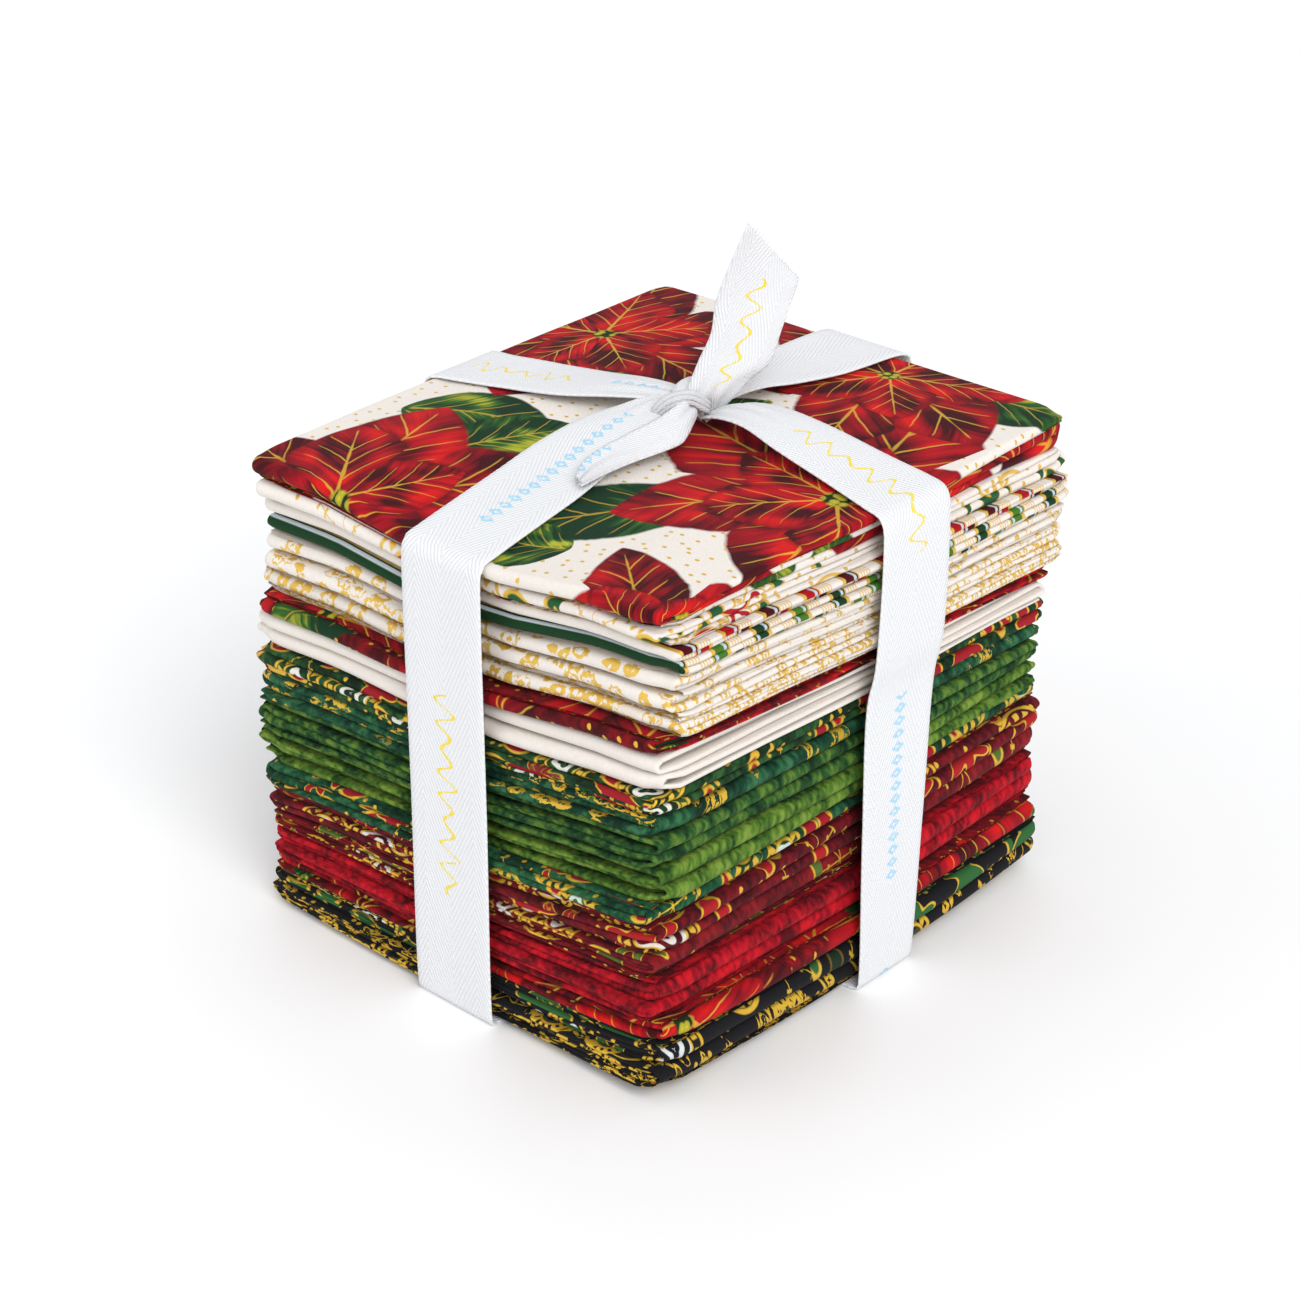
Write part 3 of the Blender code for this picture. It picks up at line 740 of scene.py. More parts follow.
# %% [markdown]
# ## Prints, written as sums
#
# A quilting cotton's print is ink on the cloth, so it has to follow the cloth round each fold.
# Every print here is worked out from the place on the flat cloth, in millimetres. A small
# class lets shader nodes be written like ordinary sums, which keeps a petal to a few lines.

# %% Values on the cloth
class Field:
    """One value at each point of the cloth, joined into sums by ordinary signs."""

    def __init__(self, tree, socket):
        self.tree = tree
        self.socket = socket

    def __add__(self, other):
        return calc("ADD", self, other)

    def __sub__(self, other):
        return calc("SUBTRACT", self, other)

    def __mul__(self, other):
        return calc("MULTIPLY", self, other)

    def __truediv__(self, other):
        return calc("DIVIDE", self, other)

    def __pow__(self, other):
        return calc("POWER", self, other)

    def __rsub__(self, other):
        return calc("SUBTRACT", other, self)

    def __abs__(self):
        return calc("ABSOLUTE", self)

    __radd__ = __add__
    __rmul__ = __mul__


def feed(tree, socket, value):
    """Gives a node's input a value: another field, a number, or a colour of three."""
    if isinstance(value, Field):
        tree.links.new(value.socket, socket)
    elif isinstance(value, tuple) and len(value) == 3 and socket.type == "RGBA":
        socket.default_value = (*value, 1.0)
    elif value is not None:
        socket.default_value = value


def calc(operation, *values, clamp=False):
    tree = next(v.tree for v in values if isinstance(v, Field))
    node = tree.nodes.new("ShaderNodeMath")
    node.operation = operation
    node.use_clamp = clamp
    for socket, value in zip(node.inputs, values):
        feed(tree, socket, value)
    return Field(tree, node.outputs[0])


def vector(x, y, z=0.0):
    tree = next(v.tree for v in (x, y, z) if isinstance(v, Field))
    node = tree.nodes.new("ShaderNodeCombineXYZ")
    for socket, value in zip(node.inputs, (x, y, z)):
        feed(tree, socket, value)
    return Field(tree, node.outputs[0])


def parts(value):
    """The three numbers of a vector or a colour."""
    node = value.tree.nodes.new("ShaderNodeSeparateXYZ")
    feed(value.tree, node.inputs[0], value)
    return [Field(value.tree, out) for out in node.outputs]


def channels(colour):
    """The red, green and blue of a colour."""
    node = colour.tree.nodes.new("ShaderNodeSeparateColor")
    feed(colour.tree, node.inputs[0], colour)
    return [Field(colour.tree, out) for out in node.outputs]


def below(value, limit, soft):
    """1 where a value is below its limit, with a soft border."""
    return calc("ADD", (limit - value) / soft, 0.5, clamp=True)


def most(*values):
    made = values[0]
    for value in values[1:]:
        made = calc("MAXIMUM", made, value)
    return made


def blend(share, low, high):
    """A colour between two, by share."""
    tree = next(v.tree for v in (share, low, high) if isinstance(v, Field))
    node = tree.nodes.new("ShaderNodeMix")
    node.data_type = "RGBA"
    feed(tree, node.inputs[0], share)
    feed(tree, node.inputs[6], low)
    feed(tree, node.inputs[7], high)
    return Field(tree, node.outputs[2])


def noise(place, scale, detail=2.0, rough=0.5):
    """Smooth unevenness from 0 to 1, with this many waves a millimetre."""
    node = place.tree.nodes.new("ShaderNodeTexNoise")
    feed(place.tree, node.inputs["Vector"], place)
    node.inputs["Scale"].default_value = scale
    node.inputs["Detail"].default_value = detail
    node.inputs["Roughness"].default_value = rough
    return Field(place.tree, node.outputs[0])


def cells(place, scale, loose=1.0):
    """Scattered points, this many a millimetre: distance, their own colour, their place.

    The third number of the place only shifts them, so that each print has its own."""
    x, y, shift = parts(place)
    node = place.tree.nodes.new("ShaderNodeTexVoronoi")
    node.voronoi_dimensions = "2D"
    feed(place.tree, node.inputs["Vector"], vector(x + 37.3 * shift, y + 61.7 * shift))
    node.inputs["Scale"].default_value = scale
    node.inputs["Randomness"].default_value = loose
    return [Field(place.tree, node.outputs[n]) for n in ("Distance", "Color", "Position")]


def chance(*values):
    """A steady random number from 0 to 1 for each whole value given."""
    tree = next(v.tree for v in values if isinstance(v, Field))
    node = tree.nodes.new("ShaderNodeTexWhiteNoise")
    node.noise_dimensions = "2D"
    feed(tree, node.inputs["Vector"], vector(*values))
    return Field(tree, node.outputs[0])


def polar(x, y):
    return calc("SQRT", x * x + y * y), calc("ARCTAN2", y, x)


def stencil(name, inputs, outputs, draw):
    """A node group drawn once and used often: its inputs and outputs by name."""
    tree = bpy.data.node_groups.new(name, "ShaderNodeTree")
    for title, default in inputs.items():
        kind = "NodeSocketColor" if isinstance(default, tuple) else "NodeSocketFloat"
        socket = tree.interface.new_socket(title, in_out="INPUT", socket_type=kind)
        socket.default_value = (*default, 1.0) if isinstance(default, tuple) else default
    for title in outputs:
        kind = "NodeSocketColor" if title == "colour" else "NodeSocketFloat"
        tree.interface.new_socket(title, in_out="OUTPUT", socket_type=kind)
    come = tree.nodes.new("NodeGroupInput")
    leave = tree.nodes.new("NodeGroupOutput")
    made = draw(*[Field(tree, come.outputs[title]) for title in inputs])
    for title, value in zip(outputs, made):
        feed(tree, leave.inputs[title], value)
    return tree


def use(group, *values, **named):
    """Puts a stencil in the tree of its values, and gives its outputs."""
    tree = next(v.tree for v in (*values, *named.values()) if isinstance(v, Field))
    node = tree.nodes.new("ShaderNodeGroup")
    node.node_tree = group
    for socket, value in zip(node.inputs, values):
        feed(tree, socket, value)
    for title, value in named.items():
        feed(tree, node.inputs[title], value)
    return [Field(tree, out) for out in node.outputs]


# %% [markdown]
# ## A petal, a flower and a leaf
#
# The flowers are poinsettias. Each petal is a pointed blade with a gold midrib, gold side veins
# that lean towards its tip, and streaks of lighter ink between them. One stencil draws a blade
# in its own measure, from 0 at its foot to 1 at its tip. A flower folds the turn round its
# middle into as many sectors as it has petals, and draws a blade in each.

# %% Stencils for petals, flowers and leaves
def draw_blade(along, across, wide, seed):
    side = abs(across)
    inside = calc("MINIMUM", most(along, 0.001), 0.999)
    curl = calc("SIGN", across) * 2.0 + seed
    bumps = 0.93 + 0.22 * noise(vector(along * 5.5, curl), 1.0, 3.0, 0.6)
    edge = wide * 3.1 * inside**0.7 * (1.0 - inside) ** 0.9 * bumps
    mask = below(side, edge, 0.02) * below(along, 1.0, 0.01) * below(0.0 - along, 0.0, 0.01)
    wander = noise(vector(along, across, seed), 6.0) - 0.5
    vein = along - 1.5 * side + 1.3 * side * side + 0.05 * wander
    beat = vein * 5.2 + seed + 0.4 * calc("SIGN", across)
    near = abs(calc("FRACT", beat) - 0.5)
    long_enough = edge * (0.66 + 0.3 * chance(calc("FLOOR", beat), curl))
    thin = 0.052 - 0.16 * side
    combed = below(near, thin, 0.045) * below(side, long_enough, 0.03) * below(vein, 0.74, 0.04)
    rib = below(side + 0.02 * wander, 0.012 * (1.15 - along), 0.007)
    gold = most(combed, rib) * below(along, 0.9, 0.03) * below(0.05 - along, 0.0, 0.03) * mask
    streak = noise(vector(vein * 17.0, side * 3.0, seed * 7.0), 1.0, 2.0)
    patch = noise(vector(along * 2.6, across * 3.6, seed * 3.0), 1.0, 1.0)
    tone = calc("ADD", 1.4 * (streak - 0.5) + 2.8 * (patch - 0.5), 0.42, clamp=True)
    shade = calc("DIVIDE", edge - side, edge * 0.35 + 0.001, clamp=True)
    shadow = below(side, edge + 0.02, 0.1) * below(along, 1.04, 0.08)
    return mask, gold, tone, shade, shadow


blade = stencil(
    "blade",
    {"along": 0.0, "across": 0.0, "wide": 0.3, "seed": 0.0},
    ("mask", "gold", "tone", "shade", "shadow"),
    draw_blade,
)


def draw_ring(x, y, count, long, wide, seed):
    """Blades of one ring round a middle; the longest reaches the given length."""
    away, turn = polar(x, y)
    place = turn * count / (2.0 * math.pi) + count * 0.5
    sector = calc("FLOOR", place)
    luck = chance(sector + seed * 13.0, 1.0)
    other = chance(sector + seed * 13.0, 2.0)
    local = (place - sector - 0.5) * (2.0 * math.pi) / count + (other - 0.5) * 0.3
    reach = long * (0.8 + 0.3 * luck)
    along = away * calc("COSINE", local) / reach
    across = away * calc("SINE", local) / reach
    return use(blade, along, across, wide * (0.85 + 0.3 * other), luck * 5.0 + seed)


ring = stencil(
    "petal ring",
    {"x": 0.0, "y": 0.0, "count": 6.0, "long": 1.0, "wide": 0.3, "seed": 0.0},
    ("mask", "gold", "tone", "shade", "shadow"),
    draw_ring,
)


def inked(tone, shade, dark, middle, bright):
    """Three inks by tone, a little darker towards the blade's edge."""
    low = calc("MULTIPLY", tone, 2.0, clamp=True)
    high = calc("SUBTRACT", tone * 2.0, 1.0, clamp=True)
    colour = blend(high, blend(low, dark, middle), bright)
    return blend(0.4 * (1.0 - shade), colour, dark)


def draw_flower(x, y, seed, dark, middle, bright, berry):
    mask = gold = None
    for count, share, wide, turn in ((6.0, 1.0, 0.31, 0.0), (5.0, 0.66, 0.34, 0.52)):
        c, s = math.cos(turn), math.sin(turn)
        found = use(ring, x * c - y * s, x * s + y * c, count, share, wide, seed + turn * 10.0)
        on, vein, tone, shade, shadow = found
        ink = inked(tone, shade, dark, middle, bright)
        if mask is None:
            colour, mask, gold = ink, on, vein
        else:
            colour = blend(on, blend(0.85 * shadow, colour, dark), ink)
            gold = gold * (1.0 - most(on, 0.7 * shadow)) + vein
            mask = most(mask, on)
    away = calc("SQRT", x * x + y * y)
    near, _, _ = cells(vector(x, y, seed), 20.0, 0.7)
    middle_on = below(away, 0.06, 0.02)
    seedhead = blend(below(near, 0.42, 0.15), (0.012, 0.03, 0.006), berry)
    colour = blend(middle_on, colour, seedhead)
    gold = gold * (1.0 - middle_on) + middle_on * below(near, 0.14, 0.1)
    return colour, most(mask, middle_on), gold


flower = stencil(
    "flower",
    {"x": 0.0, "y": 0.0, "seed": 0.0, "dark": (0.055, 0.002, 0.005),
     "middle": (0.36, 0.003, 0.011), "bright": (0.7, 0.008, 0.008), "berry": (0.42, 0.40, 0.03)},
    ("colour", "mask", "gold"),
    draw_flower,
)


def draw_leaf(x, y, seed, dark, middle, bright):
    bend = y + 0.12 * x * (x - 1.0)
    wide = 0.25 + 0.1 * calc("FRACT", seed * 0.37)
    mask, gold, tone, shade, _ = use(blade, x, bend, wide, seed)
    tone = calc("ADD", tone * 1.3, -0.24, clamp=True)
    return inked(tone, shade, dark, middle, bright), mask, gold * 0.75


leaf = stencil(
    "leaf",
    {"x": 0.0, "y": 0.0, "seed": 0.0, "dark": (0.005, 0.035, 0.013),
     "middle": (0.035, 0.13, 0.018), "bright": (0.46, 0.47, 0.035)},
    ("colour", "mask", "gold"),
    draw_leaf,
)

# %% [markdown]
# ## The poinsettia print
#
# The print repeats over the cloth, as printed cotton does. Two tables place its flowers and
# leaves in one repeat. Every motif measures its distance to itself in the nearest repeat, so
# petals run over the repeat's border without a seam. On the bundle's top they lie roughly as
# in the photograph, with turns and counts of their own.

# %% Poinsettia print
REPEAT_X = 190.0
REPEAT_Y = 206.0
FLOWERS = (
    # middle x, middle y, petal length, turn in degrees, seed, drawn over the others?
    (-32.0, -78.0, 54.0, 20.0, 1.0, False),
    (60.0, -4.0, 58.0, 200.0, 2.0, False),
    (-50.0, 34.0, 50.0, 75.0, 3.0, False),
    (24.0, 62.0, 48.0, 130.0, 4.0, True),
    (72.0, -84.0, 42.0, 40.0, 6.0, True),
)
LEAVES = (
    # foot x, foot y, length, direction in degrees, seed, drawn over the others?
    (-56.0, -34.0, 42.0, 20.0, 1.0, False),
    (40.0, -24.0, 52.0, 228.0, 3.0, False),
    (-36.0, 10.0, 34.0, 20.0, 4.0, False),
    (38.0, 64.0, 40.0, 10.0, 5.0, False),
    (-22.0, 64.0, 26.0, 100.0, 7.0, False),
    (-28.0, -44.0, 34.0, 62.0, 2.0, True),
    (4.0, 2.0, 28.0, 70.0, 6.0, True),
    (30.0, -62.0, 26.0, 190.0, 8.0, True),
)


def placed(x, y, middle_x, middle_y, long, degrees):
    """Place seen from a motif: from its nearest repeat, turned its way, in its own lengths."""
    dx = calc("WRAP", x - middle_x, REPEAT_X / 2.0, -REPEAT_X / 2.0)
    dy = calc("WRAP", y - middle_y, REPEAT_Y / 2.0, -REPEAT_Y / 2.0)
    c = math.cos(math.radians(degrees)) / long
    s = math.sin(math.radians(degrees)) / long
    return dx * c + dy * s, dy * c - dx * s


def nearest(x, y, table, over, along):
    """Place seen from whichever motif of a table is the nearest, and that motif's seed.

    Only one of them is drawn at any point, so the motifs of one table mustn't overlap: those
    that do are drawn over the others, in a turn of their own."""
    best = found = None
    for middle_x, middle_y, long, degrees, seed, is_over in table:
        if is_over != over:
            continue
        px, py = placed(x, y, middle_x, middle_y, long, degrees)
        away = calc("SQRT", (px - along) * (px - along) + py * py)
        here = vector(px, py, seed)
        if best is None:
            best, found = away, here
        else:
            closer = calc("LESS_THAN", away, best)
            found = blend(closer, found, here)
            best = calc("MINIMUM", best, away)
    return parts(found)


def speckled(x, y, scale=0.19, size=0.12):
    """Scattered gold specks, a little longer than wide."""
    near, _, _ = cells(vector(x, y * 1.4), scale, 0.75)
    return below(near, size, 0.03)


def poinsettias(x, y, ground):
    colour, gold = ground, speckled(x, y)
    for group, table, along in ((leaf, LEAVES, 0.5), (flower, FLOWERS, 0.0)):
        for over in (False, True):
            ink, mask, vein = use(group, *nearest(x, y, table, over, along))
            colour = blend(mask, colour, ink)
            gold = gold * (1.0 - mask) + 0.8 * vein
    return colour, gold


# %% [markdown]
# ## The small prints
#
# Under the top quarter only the folded sides show, a strip a few millimetres high at a time.
# What counts there is the ground's colour, how dense the gold is, and how large the motifs
# are. The ornament prints are given plain rings, stars, sprigs and dots in an arrangement of
# their own, because the real ones are their makers' designs.

# %% Small prints
def tonal(x, y, dark, middle, bright, scale=0.12, seed=0.0):
    """Leafy blotches in three tones of one ink."""
    place = vector(x, y, seed * 5.0)
    bend = 3.0 * (noise(place, 0.05) - 0.5)
    near, own, _ = cells(vector(x + bend * 4.0, y - bend * 4.0, seed), scale, 1.0)
    rib = calc("FRACT", (x * 0.7 + y) * 0.35 + channels(own)[0] * 3.0)
    fine = noise(place, 0.6)
    tone = 1.2 * (0.5 - near) + 0.5 * (abs(rib - 0.5) - 0.25) + 1.9 * (fine - 0.5)
    tone = calc("ADD", tone, 0.4, clamp=True)
    low = calc("MULTIPLY", tone, 2.0, clamp=True)
    high = calc("SUBTRACT", tone * 2.0, 1.0, clamp=True)
    return blend(high, blend(low, dark, middle), bright)


def draw_ornaments(x, y, scale, seed, ground, white, accent, more):
    """Rings, stars, sprigs and dots: colour, gold and how far each replaces its ground."""
    _, own, middle = cells(vector(x, y), 0.045, 0.6)
    mx, my, _ = parts(middle)
    dx, dy = x - mx, y - my
    luck, size, kind = channels(own)
    away, turn = polar(dx, dy)
    turn = turn + luck * 6.0
    reach = scale * (0.7 + 0.5 * size)
    within = below(away, reach, 0.3)
    rings = most(below(abs(away - reach), 0.45, 0.3), below(abs(away - reach * 0.62), 0.3, 0.3))
    beads = below(abs(away - reach * 0.81), 0.8, 0.3) * below(calc("SINE", turn * 14.0), 0.1, 0.5)
    arcs = below(calc("SINE", away * 1.9 + calc("SINE", turn * 3.0)), -0.2, 0.5)
    arcs = arcs * below(away, reach * 0.6, 0.3)
    star_edge = reach * (0.45 + 0.5 * abs(calc("COSINE", turn * 3.0)) ** 3.0)
    star = below(away, star_edge, 0.4)
    star_rim = below(abs(away - star_edge), 0.35, 0.3)
    spoke = abs(calc("SINE", turn * 3.0))
    spokes = below(spoke * away, 0.35, 0.3) * within
    ticks = below(abs(calc("FRACT", away * 0.35) - 0.5), 0.12, 0.1) * below(spoke, 0.35, 0.1)
    flake = most(spokes, ticks * within)
    is_ring = below(kind, 0.42, 0.01)
    is_star = below(abs(kind - 0.57), 0.15, 0.01)
    is_flake = below(0.72 - kind, 0.0, 0.01)
    gold = is_ring * most(rings, beads) + is_star * star_rim + is_flake * flake
    near, fleck, _ = cells(vector(x, y, seed + 3.0), 0.22, 1.0)
    around = 1.0 - within
    dots = below(near, 0.14, 0.05) * below(channels(fleck)[0], 0.45 * more, 0.01) * around
    leafy, leaf_own, _ = cells(vector(x * 0.6 + y * 0.35, y, seed + 8.0), 0.14, 1.0)
    has_leaf = below(channels(leaf_own)[1], 0.35 * more, 0.01) * around
    sprig = below(leafy, 0.33, 0.08) * has_leaf
    colour = blend(sprig, ground, accent)
    colour = blend(is_ring * arcs, colour, white)
    colour = blend(is_star * star, colour, accent)
    gold = most(gold, dots, below(abs(leafy - 0.33), 0.05, 0.04) * has_leaf)
    return colour, calc("ADD", gold, 0.0, clamp=True)


ornament = stencil(
    "ornaments",
    {"x": 0.0, "y": 0.0, "scale": 8.0, "seed": 0.0, "ground": (0.1, 0.1, 0.1),
     "white": (0.75, 0.74, 0.7), "accent": (0.3, 0.02, 0.02), "more": 1.0},
    ("colour", "gold"),
    draw_ornaments,
)


def dashes(x, y, part, seed=0.0):
    """Short curls of gold, as scrolls look where a fold cuts them; part of the cells have them."""
    near, own, _ = cells(vector(x * 0.6, y * 1.1, seed), 0.33, 1.0)
    luck, other, _ = channels(own)
    grain = noise(vector(x, y, seed), 0.9)
    curl = abs(calc("FRACT", near * 1.7 + luck + 1.5 * grain) - 0.5)
    curl = below(curl, 0.31, 0.06) * below(near + 0.6 * (grain - 0.5), 0.56, 0.05)
    return curl * below(other, part, 0.01)


BLOCK = 13.8
LINE_STEP = 0.93


def check(x, y, ground):
    """The stripe print: a broad stripe edged with gold and four fine lines, every 13.8 mm.

    The broad stripe is by turns dark and bright, red far up the cloth and green below, so the
    quarter's upper layers show red. Above it are a pale blue line and a fine green one."""
    row = y / BLOCK + 0.725
    place = calc("FRACT", row) * BLOCK
    turn = below(calc("FRACT", row / 2.0), 0.5, 0.001)
    is_red = below(440.0 - y, 0.0, 1.0)
    broad = most(below(abs(place - 2.6), 1.5, 0.2), below(abs(place - 5.3), 0.3, 0.15))
    edge = most(below(abs(place - 0.6), 0.6, 0.2), below(abs(place - 5.85), 0.25, 0.2))
    ground = blend(below(abs(place - 4.55), 0.45, 0.2), ground, (0.55, 0.64, 0.70))
    lines = below(abs(calc("FRACT", place / LINE_STEP) - 0.5) * LINE_STEP, 0.19, 0.2)
    lines = lines * below(abs(place - 8.4), 2.0, 0.1)
    red = blend(turn, (0.42, 0.004, 0.008), (0.08, 0.002, 0.006))
    green = blend(turn, (0.06, 0.19, 0.02), (0.006, 0.045, 0.013))
    return blend(broad, ground, blend(is_red, green, red)), most(edge, lines * 0.85)


CREAM = (0.87, 0.81, 0.745)
BLACK = (0.008, 0.008, 0.01)
GOLD_INK = (0.84, 0.52, 0.045)
REDS = ((0.09, 0.001, 0.005), (0.34, 0.002, 0.011), (0.6, 0.006, 0.016))
GROUNDS = {
    # dark, middle and bright ink, blotches a millimetre, seed
    "poinsettia_low": ((0.05, 0.002, 0.004), (0.14, 0.003, 0.007), (0.3, 0.005, 0.01), 0.12, 0.0),
    "poinsettia_mid": ((0.05, 0.002, 0.004), (0.14, 0.003, 0.007), (0.3, 0.005, 0.01), 0.12, 0.0),
    "red_low": (*REDS, 0.12, 7.0),
    "red_mid": (*REDS, 0.12, 7.0),
    "red_dark": ((0.07, 0.003, 0.006), (0.17, 0.005, 0.01), (0.27, 0.01, 0.014), 0.12, 0.0),
    "brown_ornament": ((0.045, 0.002, 0.005), (0.12, 0.004, 0.009), (0.22, 0.006, 0.012), 0.12, 0.0),
    "teal_ornament": ((0.003, 0.026, 0.011), (0.008, 0.07, 0.028), (0.035, 0.15, 0.055), 0.12, 0.0),
    "green_light": ((0.012, 0.05, 0.01), (0.08, 0.175, 0.018), (0.2, 0.31, 0.045), 0.1, 3.0),
    "green_leaf": ((0.004, 0.026, 0.009), (0.022, 0.09, 0.018), (0.11, 0.21, 0.03), 0.14, 4.0),
    "teal_gold": ((0.003, 0.026, 0.012), (0.008, 0.07, 0.03), (0.04, 0.16, 0.065), 0.14, 6.0),
    "green_ornament": ((0.004, 0.017, 0.006), (0.009, 0.045, 0.014), (0.03, 0.105, 0.025), 0.16, 7.0),
}
ORNAMENTS = {
    # size of the motifs in mm, seed, white ink, accent ink, how many sprigs and dots
    "red_dark": (7.0, 4.0, (0.7, 0.68, 0.6), (0.1, 0.16, 0.03), 0.6),
    "brown_ornament": (9.0, 1.0, (0.75, 0.72, 0.66), (0.42, 0.014, 0.018), 1.0),
    "teal_ornament": (8.0, 2.0, (0.62, 0.72, 0.64), (0.35, 0.01, 0.02), 1.3),
    "green_ornament": (7.5, 5.0, (0.78, 0.77, 0.7), (0.35, 0.012, 0.02), 1.4),
    "cream_mixed": (9.0, 9.0, (0.45, 0.012, 0.02), (0.02, 0.11, 0.04), 1.3),
    "black_ornament": (8.5, 7.0, (0.7, 0.74, 0.74), (0.03, 0.13, 0.035), 1.0),
    "black_gold": (5.5, 11.0, (0.06, 0.05, 0.02), (0.02, 0.02, 0.015), 1.6),
}
DASHES = {
    # share of the cells that have curls of gold, seed
    "teal_gold": (0.35, 2.0),
    "gold_heavy": (0.95, 10.0),
    "gold_motif": (0.7, 10.0),
    "gold_sparse": (0.4, 11.0),
    "black_gold": (0.3, 5.0),
}


def plain(tree, colour):
    """One ink all over, as a field that other inks can be laid on."""
    node = tree.nodes.new("ShaderNodeRGB")
    node.outputs[0].default_value = (*colour, 1.0)
    return Field(tree, node.outputs[0])


def print_of(name, x, y):
    """The ink's colour and its gold at a place of one quarter."""
    if name in GROUNDS:
        colour = tonal(x, y, *GROUNDS[name])
    else:
        colour = plain(x.tree, BLACK if name.startswith("black") else CREAM)
    gold = x * 0.0
    if name.startswith("poinsettia"):
        return poinsettias(x, y, colour)
    if name == "plaid":
        return check(x, y, colour)
    if name in ORNAMENTS:
        size, seed, white, accent, more = ORNAMENTS[name]
        colour, gold = use(ornament, x, y, size, seed, colour, white, accent, more)
    if name in DASHES:
        gold = most(gold, dashes(x, y, *DASHES[name]))
    return colour, gold


# %% [markdown]
# ## Cotton
#
# Quilting cotton is a fine plain weave, about 27 threads a centimetre, soft and dull, with a
# little fuzz that catches light at the rim. Gold ink is metal powder in a clear binder: it is
# smoother than the cloth and glints. The weave is too fine to build, so it is a bump, and its
# hollows get painted shade in the colour.

# %% Cotton finish
THREAD = 0.45  # mm from thread to thread, a little coarser than real so that it can be seen


def new_finish(name, **levels):
    """A material with its tree and shader, and the shader's plain levels by name."""
    finish = bpy.data.materials.new(name)
    finish.use_nodes = True
    shader = finish.node_tree.nodes["Principled BSDF"]
    for title, value in levels.items():
        shader.inputs[title.replace("_", " ")].default_value = value
    return finish, finish.node_tree, shader


def place_on_cloth(tree):
    """The place on the flat cloth, in millimetres."""
    flat = tree.nodes.new("ShaderNodeUVMap")
    flat.uv_map = "cloth"
    u, v, _ = parts(Field(tree, flat.outputs[0]))
    return u / MM, v / MM


def add_bump(tree, shader, strength, distance, height):
    """Bump of a distance in millimetres from a height of about 0 to 1."""
    bump = tree.nodes.new("ShaderNodeBump")
    bump.inputs["Strength"].default_value = strength
    bump.inputs["Distance"].default_value = distance * MM
    feed(tree, bump.inputs["Height"], height)
    tree.links.new(bump.outputs[0], shader.inputs["Normal"])


def woven(x, y, pitch):
    """Height of a plain weave from 0 to 1."""
    one = calc("SINE", x * (2.0 * math.pi / pitch))
    two = calc("SINE", y * (2.0 * math.pi / pitch))
    return 0.5 + 0.5 * one * two


def cloth_finish(name, origin, flip):
    levels = {"Specular_IOR_Level": 0.15, "Sheen_Weight": 0.015, "Sheen_Roughness": 0.6}
    finish, tree, shader = new_finish(name + "_finish", **levels)
    u, v = place_on_cloth(tree)
    x = (u - origin[0]) * flip[0]
    y = (v - origin[1]) * flip[1]
    colour, gold = print_of(name, x, y)
    weave = woven(x, y, THREAD)
    place = vector(x, y)
    slub = noise(place, 1.3, 3.0)
    colour = blend(calc("MULTIPLY", gold, 0.92), colour, GOLD_INK)
    # Painted shade: the colour darkens where the weave lies low, as a thread's hollows are shaded; the
    # slubs darken it unevenly too.
    weave_shade_and_wear = blend(0.16 * (1.0 - weave) + 0.14 * (slub - 0.3), colour, (0.0, 0.0, 0.0))
    feed(tree, shader.inputs["Base Color"], weave_shade_and_wear)
    feed(tree, shader.inputs["Metallic"], gold * 0.4)
    feed(tree, shader.inputs["Roughness"], 0.86 - 0.46 * gold)
    add_bump(tree, shader, 0.55, 0.12, weave + 1.5 * slub + 4.0 * noise(place, 0.14, 2.0))
    return finish


for name, sheet in sheets.items():
    origin, flip = top_origin if name == "poinsettia_top" else ((0.0, 0.0), (1.0, 1.0))
    sheet.data.materials.append(cloth_finish(name, origin, flip))
print("cloth finishes:", len(sheets))

# %% [markdown]
# ## Twill tape
#
# In herringbone twill the weft climbs one warp thread at a time and turns back every third of
# the width, so slanting lines meet in chevrons. The real tape is printed with names. Here a
# row of small blue diamonds and a yellow running line take their places and their colours.

# %% Tape finish
CHEVRON_COLUMNS = 3.0
TWILL_PITCH = 1.15  # mm from one slanting line to the next, and how far they climb
TWILL_SLOPE = 0.5
PICK = 0.62  # mm from thread to thread
DIAMOND_STEP = 3.6
TAPE_START = {
    # where each tape's length begins on the shared measure, in mm
    "ribbon_front_back": 0.0,
    "ribbon_left_right": 1000.0,
    "ribbon_end_standing": 2000.0,
    "ribbon_end_lying": 2200.0,
    "ribbon_knot": 2400.0,
}
TAPE_PRINT = (
    # from, to, yellow?
    (16.0, 72.0, False),
    (122.0, 178.0, True),
    (440.0, 496.0, False),
    (1004.0, 1018.0, False),
    (1030.0, 1062.0, True),
    (1120.0, 1170.0, False),
    (1332.0, 1346.0, False),
    (1372.0, 1424.0, False),
    (1462.0, 1512.0, True),
    (2010.0, 2040.0, True),
    (2226.0, 2240.0, False),
)


